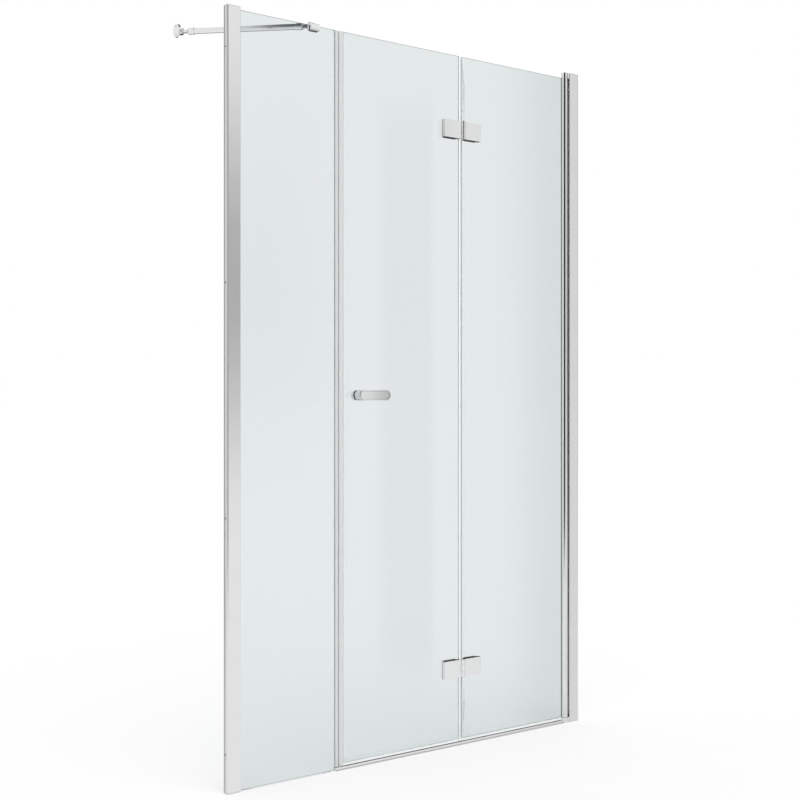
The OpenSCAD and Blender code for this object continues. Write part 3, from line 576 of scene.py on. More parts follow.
class Blank:
    """One piece while it is shaped."""

    def __init__(self) -> None:
        """Starts with nothing."""
        self.bm: BMesh = bmesh.new()

    def rim(self, corners: Sequence[Corner], segments: int) -> list[BMEdge]:
        """Draws a closed outline in the XY plane and rounds its corners.

        Args:
            corners: corners in order.
            segments: faces in each rounded corner.

        Returns:
            The edges of the outline.
        """
        verts = [self.bm.verts.new((c.u, c.v, 0.0)) for c in corners]
        for a, b in zip(verts, verts[1:] + verts[:1]):
            self.bm.edges.new((a, b))
        before = set(self.bm.verts) - set(verts)
        places = [Vector((c.u, c.v)) for c in corners]
        for i, corner in enumerate(corners):
            if corner.radius <= 0:
                continue
            back, on = places[i - 1] - places[i], places[(i + 1) % len(places)] - places[i]
            bmesh.ops.bevel(
                self.bm,
                geom=[verts[i]],
                offset=corner.radius / math.tan(back.angle(on) / 2) * ARC_SHARE,
                offset_type="OFFSET",
                segments=segments,
                profile=0.5,
                affect="VERTICES",
                material=-1,
            )
        drawn = [v for v in self.bm.verts if v not in before]
        return list({e for v in drawn for e in v.link_edges})

    def ring(self, radius: float, count: int, at: Sequence[float]) -> list[BMEdge]:
        """Draws a circle in the XY plane, as count edges."""
        place = Matrix.Translation(at)
        made = bmesh.ops.create_circle(self.bm, segments=count, radius=radius, matrix=place)
        return list({e for v in made["verts"] for e in v.link_edges})

    def plate(
        self,
        corners: Sequence[Corner],
        height: float,
        holes: Iterable[Triple] = (),
        windows: Iterable[Sequence[Corner]] = (),
        segments: int = 8,
        plane: Plane = Plane.XY,
        at: Sequence[float] = ORIGIN,
    ) -> list[BMVert]:
        """Adds a plate or a length of section: an outline with holes, raised from its plane.

        Args:
            corners: corners of the outline.
            height: height that it is raised by.
            holes: round holes as (u, v, radius).
            windows: other holes, as outlines.
            segments: faces in each rounded corner.
            plane: plane that the outline lies in.
            at: place of the outline's origin.

        Returns:
            The vertices of the plate.
        """
        known = set(self.bm.verts)
        edges = self.rim(corners, segments)
        for window in windows:
            edges += self.rim(window, segments)
        for u, v, radius in holes:
            edges += self.ring(radius, HOLE_STEPS, (u, v, 0))
        edges = [e for e in dict.fromkeys(edges) if e.is_valid]
        filled = bmesh.ops.triangle_fill(
            self.bm, use_beauty=True, use_dissolve=False, normal=(0, 0, -1), edges=edges
        )["geom"]
        faces = [g for g in filled if isinstance(g, BMFace)]
        raised = bmesh.ops.extrude_face_region(self.bm, geom=faces)["geom"]
        self.move([g for g in raised if isinstance(g, BMVert)], (0, 0, height))
        return self.finish(known, plane, at)

    def finish(self, known: set[BMVert], plane: Plane, at: Sequence[float]) -> list[BMVert]:
        """Turns a new form's faces outwards and puts it in its place.

        Args:
            known: the vertices that were there before it.
            plane: plane that it was drawn in.
            at: place of its origin.

        Returns:
            The vertices of the form.
        """
        verts = [v for v in self.bm.verts if v not in known]
        faces = list({f for v in verts for f in v.link_faces})
        bmesh.ops.recalc_face_normals(self.bm, faces=faces)
        bmesh.ops.transform(self.bm, matrix=plane.value.to_4x4(), verts=verts)
        self.move(verts, at)
        return verts

    def slab(self, low: Sequence[float], high: Sequence[float]) -> list[BMVert]:
        """Adds a box between its lowest and its highest corner."""
        verts = bmesh.ops.create_cube(self.bm, size=1.0)["verts"]
        bmesh.ops.scale(self.bm, vec=Vector(high) - Vector(low), verts=verts)
        self.move(verts, (Vector(high) + Vector(low)) / 2)
        return verts

    def turned(
        self,
        profile: Sequence[Point],
        segments: int = 48,
        plane: Plane = Plane.XY,
        at: Sequence[float] = ORIGIN,
    ) -> list[BMVert]:
        """Adds a piece turned round the Z axis.

        Args:
            profile: (radius, height) points from the axis, round the outside, back to the axis.
            segments: steps round the axis.
            plane: plane that the axis stands on.
            at: place of its origin.

        Returns:
            The vertices of the piece.
        """
        known = set(self.bm.verts)
        verts = [self.bm.verts.new((r, 0.0, h)) for r, h in profile]
        edges = [self.bm.edges.new(pair) for pair in zip(verts, verts[1:])]
        bmesh.ops.spin(
            self.bm,
            geom=verts + edges,
            cent=ORIGIN,
            axis=(0, 0, 1),
            angle=math.tau,
            steps=segments,
            use_merge=True,
            use_duplicate=False,
        )
        made = [v for v in self.bm.verts if v not in known]
        bmesh.ops.remove_doubles(self.bm, verts=made, dist=JOIN)
        return self.finish(known, plane, at)

    def rod(self, radius: float, low: float, high: float, segments: int = 48) -> list[BMVert]:
        """Adds a cylinder round the Z axis, between two heights."""
        return self.turned([(0, low), (radius, low), (radius, high), (0, high)], segments)

    def screw(
        self,
        head: Head,
        shank: Pair = (0.0, 0.0),
        segments: int = 24,
        plane: Plane = Plane.XY,
        at: Sequence[float] = ORIGIN,
    ) -> list[BMVert]:
        """Adds a screw with a hexagon socket, its head upwards from z = 0.

        Args:
            head: the head.
            shank: radius and length of the shank.
            segments: steps round the shank.
            plane: plane that the screw stands on.
            at: place of the head's foot.

        Returns:
            The vertices of the screw.
        """
        known = set(self.bm.verts)
        top = (0, 0, head.height)
        rings = [self.ring(head.radius, HEAD_STEPS, top), self.ring(head.key, HEXAGON, top)]
        bmesh.ops.triangle_fill(
            self.bm, use_beauty=True, use_dissolve=False, normal=(0, 0, 1), edges=rings[0] + rings[1]
        )
        share = (head.foot or head.radius) / head.radius
        for edges, drop, taper in ((rings[0], head.height, share), (rings[1], head.depth, 1.0)):
            geom = bmesh.ops.extrude_edge_only(self.bm, edges=edges)["geom"]
            verts = [g for g in geom if isinstance(g, BMVert)]
            bmesh.ops.scale(self.bm, vec=(taper, taper, 1.0), verts=verts)
            self.move(verts, (0, 0, -drop))
            bmesh.ops.contextual_create(self.bm, geom=[g for g in geom if isinstance(g, BMEdge)])
        radius, length = shank
        if radius:
            self.rod(radius, -length, head.bite, segments)
        return self.finish(known, plane, at)

    def spin_about_z(self, verts: Iterable[BMVert], degrees: float) -> None:
        """Turns vertices about the Z axis."""
        turn = Matrix.Rotation(math.radians(degrees), 3, "Z")
        bmesh.ops.rotate(self.bm, cent=ORIGIN, matrix=turn, verts=list(verts))

    def move(self, verts: Iterable[BMVert], to: Sequence[float]) -> None:
        """Moves vertices by a vector."""
        bmesh.ops.translate(self.bm, vec=to, verts=list(verts))

    def flip_x(self) -> None:
        """Mirrors the whole piece at X = 0 and turns its faces outwards again."""
        bmesh.ops.scale(self.bm, vec=(-1, 1, 1), verts=self.bm.verts)
        bmesh.ops.reverse_faces(self.bm, faces=self.bm.faces)

    def paint(self, faces: Iterable[BMFace]) -> None:
        """Gives faces the second of the piece's finishes."""
        for face in faces:
            face.material_index = 1


@dataclass(frozen=True)
class Softening:
    """How far the edges of a piece are rounded, in millimetres."""

    width: float = 0.4
    segments: int = 2


class Workbench:
    """Places finished pieces on the bodies of the CAD model."""

    edge_angle = math.radians(32)

    def __init__(self, frame: Mapping[str, Any]) -> None:
        """Reads each node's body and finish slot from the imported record."""
        self.nodes: dict[str, bpy.types.Object] = frame["nodes"]
        record = frame["record"]
        bodies = record["behaviour"]["bodies"]
        self.body = {node: name for name, members in bodies.items() for node in members}
        self.slot = {p["node"]: p["material_slot"] for p in record["subparts"]}
        self.dressed: set[str] = set()

    def place(
        self,
        blank: Blank,
        name: str,
        node: str,
        finishes: Sequence[Finish] = (),
        soften: Softening | None = Softening(),
    ) -> bpy.types.Object:
        """Makes a piece of a shaped blank and puts it in the place of a CAD node.

        Args:
            blank: the shaped blank, in millimetres.
            name: name of the piece.
            node: CAD node that the piece stands for.
            finishes: finishes by material index, or none for the node's own.
            soften: rounding of the edges.

        Returns:
            The piece.
        """
        bmesh.ops.scale(blank.bm, vec=(MM, MM, MM), verts=blank.bm.verts)
        mesh = bpy.data.meshes.new(name)
        blank.bm.to_mesh(mesh)
        blank.bm.free()
        mesh.shade_smooth()
        piece = bpy.data.objects.new(name, mesh)
        bpy.context.scene.collection.objects.link(piece)
        for finish in finishes or (FINISH_OF_SLOT[self.slot[node]],):
            mesh.materials.append(finish.material())
        if soften is None:
            mesh.set_sharp_from_angle(angle=self.edge_angle)
            level = piece.modifiers.new("flat faces stay flat", "WEIGHTED_NORMAL")
            level.keep_sharp = True
            level.weight = 100
        else:
            bevel = piece.modifiers.new("softened edges", "BEVEL")
            bevel.width = soften.width * MM
            bevel.segments = soften.segments
            bevel.limit_method = "ANGLE"
            bevel.angle_limit = self.edge_angle
            bevel.harden_normals = True
            bevel.use_clamp_overlap = True
        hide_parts(node)
        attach(piece, self.body[node])
        self.dressed.add(node)
        LOG.info("%s: %d faces, rides on %s", name, len(mesh.polygons), self.body[node])
        return piece

    def dress(self, node: str, finish: Finish | None = None) -> None:
        """Keeps a CAD node's shape and gives it a finish.

        Args:
            node: the CAD node.
            finish: its finish, or None for the one of its slot.
        """
        mesh = self.nodes[node].data
        mesh.materials.clear()
        mesh.materials.append((finish or FINISH_OF_SLOT[self.slot[node]]).material())
        self.dressed.add(node)
        LOG.info("%s: CAD shape kept", node)

    def dress_rest(self) -> None:
        """Dresses every node that has no piece or finish yet."""
        for node in sorted(set(self.nodes) - self.dressed):
            self.dress(node)


# ---- wall profiles


@dataclass
class WallProfile:
    """Cover profile on one wall, with its end caps and lock screws."""

    side: str
    width: float = 37.5
    half_depth: float = 9.0
    wall: float = 1.5
    nose: float = 4.0
    edge: float = 1.2
    pocket_back: float = 23.0
    pocket_half: float = 4.5
    pocket_wall: float = 1.2
    channel_half: float = 5.1
    cap: float = 2.0
    cap_edge: float = 0.2
    lip_edge: float = 0.3
    screw_in: float = 14.0
    screw_end: float = 150.0
    screw_head: Head = Head(3.5, 2.0, 1.5, 1.3)
    screw_shank: Pair = (1.75, 6.0)  # radius and length

    def nose_corner(self, inset: float) -> list[Corner]:
        """The nose that ends at the channel's opening.

        Args:
            inset: distance inside the outer outline.

        Returns:
            The end of the nose's arc and the corner that makes it.
        """
        radius = self.nose - inset
        dip = math.asin((self.channel_half - (self.half_depth - self.nose)) / radius)
        end = Corner(self.nose - radius * math.cos(dip), -self.channel_half)
        reach = radius * math.tan((math.pi / 2 - dip) / 2)
        return [end, Corner(self.nose - reach, inset - self.half_depth, radius)]

    def section(self) -> list[Corner]:
        """Outline of the hollow cover, measured from the wall."""
        inner = self.half_depth - self.wall
        near = self.width - self.wall
        pocket = self.pocket_half + self.pocket_wall
        back = self.pocket_back - self.pocket_wall
        return [
            *self.nose_corner(0.0),
            Corner(self.width, -self.half_depth, self.edge),
            Corner(self.width, -self.pocket_half, self.lip_edge),
            Corner(self.pocket_back, -self.pocket_half),
            Corner(self.pocket_back, self.pocket_half),
            Corner(self.width, self.pocket_half, self.lip_edge),
            Corner(self.width, self.half_depth, self.edge),
            Corner(0, self.half_depth, self.lip_edge),
            Corner(0, inner, self.lip_edge),
            Corner(near, inner),
            Corner(near, pocket),
            Corner(back, pocket),
            Corner(back, -pocket),
            Corner(near, -pocket),
            Corner(near, -inner),
            *reversed(self.nose_corner(self.wall)),
        ]

    def against_wall(self, blank: Blank) -> Blank:
        """Moves a blank from the wall's plane to its wall."""
        if self.side == "left":
            blank.move(blank.bm.verts, (Span.of("left_wall_channel").low.x, 0, 0))
        else:
            blank.flip_x()
            blank.move(blank.bm.verts, (Span.of("right_cover_profile").high.x, 0, 0))
        return blank

    def build(self, bench: Workbench) -> None:
        """Builds and dresses the profile's pieces."""
        side, half = self.side, self.half_depth
        height = Span.of(f"{side}_end_caps").high.z
        cover, caps, screws = Blank(), Blank(), Blank()
        cover.plate(self.section(), height - 2 * self.cap, segments=10, at=(0, 0, self.cap))
        bench.place(self.against_wall(cover), f"{side}_cover", f"{side}_cover_profile", soften=None)
        outline = [
            Corner(0, -half, self.nose),
            Corner(self.width, -half, self.edge),
            Corner(self.width, half, self.edge),
            Corner(0, half, self.cap_edge),
        ]
        for foot in (0.0, height - self.cap):
            caps.plate(outline, self.cap, segments=10, at=(0, 0, foot))
        node = f"{side}_end_caps"
        bench.place(self.against_wall(caps), f"{side}_caps", node, soften=Softening(0.35))
        for z in (self.screw_end, height / 2, height - self.screw_end):
            at = (self.screw_in, half, z)
            screws.screw(self.screw_head, self.screw_shank, plane=Plane.XZ_IN, at=at)
        node = f"{side}_lock_screws"
        bench.place(self.against_wall(screws), f"{side}_screws", node, soften=Softening(0.25))
        bench.dress(f"{side}_wall_channel")


# ---- glass


@dataclass
class Pane:
    """A toughened pane with ground edges and drilled holes."""

    node: str
    holes: Sequence[Pair] = ()
    clear: Finish = PANE
    hole_radius: float = 6.0
    corner: float = 1.5
    arris: float = 0.5
    flat: float = 0.9  # faces are the pane's flats where their normal has this much Y

    def build(self, bench: Workbench) -> None:
        """Builds and dresses the pane."""
        span = Span.of(self.node)
        size, middle = span.size, span.middle
        blank = Blank()
        holes = [(x - middle.x, z - middle.z, self.hole_radius) for x, z in self.holes]
        outline, at = rounded_box(size.x, size.z, self.corner), (middle.x, span.high.y, middle.z)
        blank.plate(outline, size.y, holes, plane=Plane.XZ_OUT, at=at)
        blank.paint(face for face in blank.bm.faces if abs(face.normal.y) <= self.flat)
        name, finishes = self.node.replace("glass", "pane"), (self.clear, PANE_EDGE)
        piece = bench.place(blank, name, self.node, finishes, Softening(self.arris, 1))
        piece.modifiers[0].material = 1


@dataclass
class ClipStrip:
    """Clear strip that clips on a pane's upright edge and ends in a hollow chamber."""

    node: str
    edge: float
    towards: int
    width: float
    depth: float = 10.0
    pane_half: float = 3.0
    wall: float = 1.1
    grip: float = 10.0
    seat_gap: float = 0.1
    tips: Pair = (0.45, 0.3)  # rounding outside and inside the tip of a leg
    chamber_edges: Pair = (1.0, 0.6)  # rounding at the chamber's far and near end

    def build(self, bench: Workbench, lengths: Sequence[Pair]) -> None:
        """Builds and dresses the strip.

        Args:
            bench: the workbench.
            lengths: (foot, top) of each length of the strip.
        """
        start, end = self.seat_gap, self.seat_gap + self.width
        leg, half = self.pane_half + self.wall, self.depth / 2
        inner = half - self.wall
        outline = mirrored([
            Corner(end, half, self.chamber_edges[0]),
            Corner(start, half, self.chamber_edges[1]),
            Corner(start, leg),
            Corner(-self.grip, leg, self.tips[0]),
            Corner(-self.grip, self.pane_half, self.tips[1]),
            Corner(start, self.pane_half),
        ])
        window = mirrored([Corner(start + self.wall, inner), Corner(end - self.wall, inner)])
        blank = Blank()
        for foot, top in lengths:
            blank.plate(outline, top - foot, windows=[window], segments=4, at=(0, 0, foot))
        if self.towards < 0:
            blank.flip_x()
        blank.move(blank.bm.verts, (self.edge, 0, 0))
        bench.place(blank, self.node.replace("_strip", "_seal"), self.node, soften=None)


# ---- stay bar


@dataclass
class StayBar:
    """Bar that ties the fixed panel to the wall, with its clamp, swivels and flange."""

    radius: float = 7.5
    angle: float = 45.0
    eye: Pair = (7.5, 8.0)  # radius and height
    ear: float = 3.5
    ear_foot: float = 1.0
    gap: float = 0.3
    neck: float = 18.9
    neck_root: float = 1.0
    sleeve: Pair = (8.7, 18.0)  # radius and length
    sleeve_floor: float = 4.0
    sleeve_edge: float = 2.2
    bar_edge: float = 0.6
    neck_half: float = 4.5
    fit: float = 0.02
    flange: Pair = (17.5, 5.0)  # radius and thickness
    flange_hole: Pair = (12.5, 2.25)  # distance from the middle and radius
    clamp_above: float = 4.0
    clamp_edges: Pair = (1.6, 0.8)  # rounding at the top and at the foot
    grub: Head = Head(2.5, 4.8, 1.3, 2.2)
    pivot_head: Head = Head(4.0, 1.5, 1.6, 1.0, bite=0.1)
    pivot_radius: float = 2.5

    def ears(self, blank: Blank, foot: float) -> list[BMVert]:
        """Adds the two ears round a pivot, with their foot plate towards -x.

        Args:
            blank: the blank that takes them.
            foot: distance from the pivot to the foot plate's back.

        Returns:
            The vertices of the ears.
        """
        r, half = self.eye[0], self.eye[1] / 2 + self.gap
        tall = half + self.ear
        outline = [Corner(-foot, -r), Corner(r, -r, r), Corner(r, r, r), Corner(-foot, r)]
        verts = blank.slab((-foot, -r, -tall), (self.ear_foot - foot, r, tall))
        for z in (-tall, half):
            verts += blank.plate(outline, self.ear, segments=10, at=(0, 0, z))
        return verts

    def build(self, bench: Workbench) -> None:
        """Builds and dresses the stay's pieces."""
        clamp, flange = Span.of("stay_clamp"), Span.of("stay_wall_flange")
        rise = Span.of("stay_swivels").middle.z
        at_clamp = Vector((clamp.middle.x, clamp.high.y - self.eye[0], rise))
        at_wall = Vector((flange.high.x - self.eye[0], flange.middle.y, rise))
        self.build_clamp(bench, at_clamp)
        self.build_swivels(bench, at_clamp, at_wall)
        self.build_bar(bench, at_clamp, (at_wall - at_clamp).length)
        self.build_flange(bench, at_wall)

    def build_clamp(self, bench: Workbench, pivot: Vector) -> None:
        """Builds the clamp on the glass, with its ears and the grub screw.

        Args:
            bench: the workbench.
            pivot: place of the clamp's pivot.
        """
        body, slot = Span.of("stay_clamp"), Span.of("stay_clamp_lining")
        half, foot = -body.low.y, body.low.z
        top = Span.of("fixed_glass").high.z + self.clamp_above
        outline = mirrored([
            Corner(half, top, self.clamp_edges[0]),
            Corner(half, foot, self.clamp_edges[1]),
            Corner(slot.high.y, foot),
            Corner(slot.high.y, slot.high.z),
        ], -1, 1)
        blank, grub = Blank(), Blank()
        blank.plate(outline, body.size.x, segments=5, plane=Plane.YZ, at=(body.low.x, 0, 0))
        ears = self.ears(blank, pivot.y - half)
        blank.spin_about_z(ears, 90)
        blank.move(ears, pivot)
        bench.place(blank, "stay_clamp_body", "stay_clamp", soften=Softening(0.7, 3))
        place = Span.of("stay_grub_screw")
        grub.screw(self.grub, plane=Plane.XZ_IN, at=(place.middle.x, place.low.y, place.middle.z))
        bench.place(grub, "stay_grub", "stay_grub_screw", soften=Softening(0.2, 1))
        bench.dress("stay_clamp_lining")

    def build_swivels(self, bench: Workbench, at_clamp: Vector, at_wall: Vector) -> None:
        """Builds the two swivels and their screws.

        Args:
            bench: the workbench.
            at_clamp: place of the clamp's pivot.
            at_wall: place of the wall's pivot.
        """
        radius, half = self.eye[0], self.eye[1] / 2
        (outer, length), edge = self.sleeve, self.sleeve_edge
        bore, floor = self.radius + self.fit, self.sleeve_floor
        neck = self.neck + self.neck_root
        tall = half + self.gap + self.ear
        cup = [(0, 0), (outer - edge, 0), (outer, edge), (outer, length)]
        cup += [(bore, length), (bore, floor), (0, floor)]
        swivels, screws = Blank(), Blank()
        for pivot, turn in ((at_clamp, 180 - self.angle), (at_wall, -self.angle)):
            verts = swivels.rod(radius, -half, half)
            verts += swivels.slab((0, -self.neck_half, -half), (neck, self.neck_half, half))
            verts += swivels.turned(cup, plane=Plane.YZ, at=(self.neck, 0, 0))
            swivels.spin_about_z(verts, turn)
            swivels.move(verts, pivot)
            top = pivot + Vector((0, 0, tall))
            screws.screw(self.pivot_head, (self.pivot_radius, 2 * tall), 32, at=top)
        bench.place(swivels, "stay_eyes", "stay_swivels", soften=Softening(0.6, 3))
        bench.place(screws, "stay_pivot_screws", "stay_swivel_screws", soften=Softening(0.25))

    def build_bar(self, bench: Workbench, at_clamp: Vector, span: float) -> None:
        """Builds the bar between the swivels.

        Args:
            bench: the workbench.
            at_clamp: place of the clamp's pivot.
            span: distance between the pivots.
        """
        start, r = self.neck + self.sleeve_floor, self.radius
        run, edge = span - 2 * start, self.bar_edge
        profile = [(0, 0), (r - edge, 0), (r, edge), (r, run - edge), (r - edge, run), (0, run)]
        bar = Blank()
        verts = bar.turned(profile, FINE_STEPS, Plane.YZ, (start, 0, 0))
        bar.spin_about_z(verts, 180 - self.angle)
        bar.move(verts, at_clamp)
        bench.place(bar, "stay_tube", "stay_bar", soften=None)

    def build_flange(self, bench: Workbench, pivot: Vector) -> None:
        """Builds the flange on the wall.

        Args:
            bench: the workbench.
            pivot: place of the wall's pivot.
        """
        (radius, thick), (offset, hole) = self.flange, self.flange_hole
        wall = Span.of("stay_wall_flange").low.x
        outline = rounded_box(2 * radius, 2 * radius, radius)
        holes = [(0, -offset, hole), (0, offset, hole)]
        blank = Blank()
        blank.plate(outline, thick, holes, (), 16, Plane.YZ, (wall, pivot.y, pivot.z))
        blank.move(self.ears(blank, pivot.x - wall - thick), pivot)
        bench.place(blank, "stay_flange", "stay_wall_flange", soften=Softening(0.8, 3))


@dataclass
class FixedPanel:
    """The fixed pane in its profile, with its strike strip and stay."""

    strike: float = 10.2
    stay: StayBar = field(default_factory=StayBar)

    def build(self, bench: Workbench) -> None:
        """Builds and dresses the fixed panel."""
        Pane("fixed_glass").build(bench)
        edge, run = Span.of("fixed_glass").high.x, Span.of("strike_strip")
        ClipStrip("strike_strip", edge, 1, self.strike).build(bench, [(run.low.z, run.high.z)])
        self.stay.build(bench)
        bench.dress("fixed_glass_gasket", GASKET)
        bench.dress("setting_blocks", GASKET)


# ---- post and threshold


@dataclass
class HingePost:
    """Round post that carries the wall leaf, with its pivot blocks and wall strip."""

    radius: float = 10.0
    slot_half: float = 4.5
    slot_depth: float = 4.6
    bore: float = 4.5
    side_bore: Triple = (1.8, 6.9, 55.0)  # radius, distance from the axis, degrees apart
    arm_half: float = 7.5
    block_edge: float = 0.6
    tongue: Pair = (4.3, 2.2)  # half its depth, and its step in height
    before_cover: float = 1.0
    seal_lip: float = 0.8
    seal_half: float = 4.4
    seal_edges: Triple = (0.6, 0.4, 0.5)  # rounding at heel, root and tip

    def round_corner(self, half: float) -> float:
        """Where the round outline's last corner lies, for an arc that ends at v = half."""
        return self.radius * math.tan((math.pi / 2 - math.asin(half / self.radius)) / 2)

    def build(self, bench: Workbench) -> None:
        """Builds and dresses the post's pieces."""
        span, edge = Span.of("hinge_post"), Span.of("right_cover_profile").low.x
        r, slot = self.radius, self.slot_half
        axis = span.high.x - r
        outline = mirrored([
            Corner(r, r, r),
            Corner(-self.round_corner(slot), r, r),
            Corner(-r * math.cos(math.asin(slot / r)), slot),
            Corner(self.slot_depth - r, slot),
        ])
        small, at, turn = self.side_bore
        angles = [math.radians(a) for a in (-turn, 0, turn)]
        sides = [(at * math.cos(a), at * math.sin(a), small) for a in angles]
        post, seal = Blank(), Blank()
        post.plate(outline, span.size.z, [(0, 0, self.bore), *sides], segments=16, at=(axis, 0, span.low.z))
        bench.place(post, "post_tube", "hinge_post", soften=None)
        for name in ("upper", "lower"):
            self.build_block(bench, name, axis, edge)
        strip, step = Span.of("post_strip"), edge - self.before_cover
        heel, root, tip = self.seal_edges
        outline = mirrored([
            Corner(strip.high.x, self.seal_half),
            Corner(step, self.seal_half, heel),
            Corner(step, self.seal_lip, root),
            Corner(strip.low.x, self.seal_lip, tip),
        ])
        seal.plate(outline, strip.size.z, segments=4, at=(0, 0, strip.low.z))
        bench.place(seal, "post_seal", "post_strip", soften=None)
        bench.dress("wall_leaf_gasket", GASKET)

    def build_block(self, bench: Workbench, name: str, axis: float, edge: float) -> None:
        """Builds the pivot block at one end of the post.

        Args:
            bench: the workbench.
            name: upper or lower.
            axis: place of the post's axis.
            edge: place of the wall profile's edge.
        """
        span = Span.of(f"{name}_pivot_block")
        r, arm = self.radius, self.arm_half
        outline = mirrored([
            Corner(edge - axis, arm, self.block_edge),
            Corner(r * math.cos(math.asin(arm / r)), arm),
            Corner(self.round_corner(arm), r, r),
            Corner(-r, r, r),
        ])
        blank = Blank()
        blank.plate(outline, span.size.z, segments=12, at=(axis, 0, span.low.z))
        half, step = self.tongue
        foot = span.low.z + (0.0 if name == "upper" else step)
        start, top = edge - self.before_cover, foot + span.size.z - step
        blank.slab((start, -half, foot), (span.high.x, half, top))
        bench.place(blank, f"{name}_pivot", f"{name}_pivot_block", soften=Softening(0.7, 3))


@dataclass
class Threshold:
    """Low rail under the leaves."""

    foot: float = 1.5
    ridge_half: float = 4.0
    edges: Triple = (0.7, 0.8, 1.5)  # rounding at rim, root and crest

    def build(self, bench: Workbench) -> None:
        """Builds and dresses the rail."""
        span = Span.of("threshold_rail")
        half, top = span.high.y, span.high.z
        rim, root, crest = self.edges
        outline = mirrored([
            Corner(half, 0),
            Corner(half, self.foot, rim),
            Corner(self.ridge_half, self.foot, root),
            Corner(self.ridge_half, top, crest),
        ], -1, 1)
        blank = Blank()
        blank.plate(outline, span.size.x, segments=5, plane=Plane.YZ, at=(span.low.x, 0, 0))
        bench.place(blank, "threshold", "threshold_rail", soften=None)


# ---- leaves


@dataclass
class Sweep:
    """Clear strip under a leaf, with its lip and drip fin."""

    node: str
    wall: float = 1.1
    pane_half: float = 3.0
    grip: float = 10.0
    seat_gap: float = 0.1
    fin_rise: float = 2.0
    edge: float = 0.4
    heel: float = 0.6
    fin_in: float = 0.7
    fin_up: float = 0.5

    def build(self, bench: Workbench) -> None:
        """Builds and dresses the sweep."""
        span = Span.of(self.node)
        lift = Span.of(self.node.replace("sweep", "glass")).low.z
        leg, lip, inner = self.pane_half + self.wall, self.wall / 2, self.pane_half
        seat, top = lift - self.seat_gap, lift + self.grip
        web, fin = seat - self.wall, span.low.z + self.fin_rise
        reach, low, edge = span.high.y, span.low.z, self.edge
        below = [(-lip, web), (-lip, low), (lip, low), (lip, web), (leg - self.fin_in, web), (reach, fin)]
        above = [(reach, fin + self.wall), (leg, lift - self.fin_up), (leg, top), (inner, top)]
        outline = [Corner(-leg, web, self.heel), *(Corner(u, v, edge) for u, v in below + above)]
        outline += [Corner(inner, seat), Corner(-inner, seat)]
        outline += [Corner(-inner, top, edge), Corner(-leg, top, edge)]
        blank = Blank()
        blank.plate(outline, span.size.x, segments=3, plane=Plane.YZ, at=(span.low.x, 0, 0))
        bench.place(blank, self.node.replace("_sweep", "_drip_seal"), self.node, soften=None)


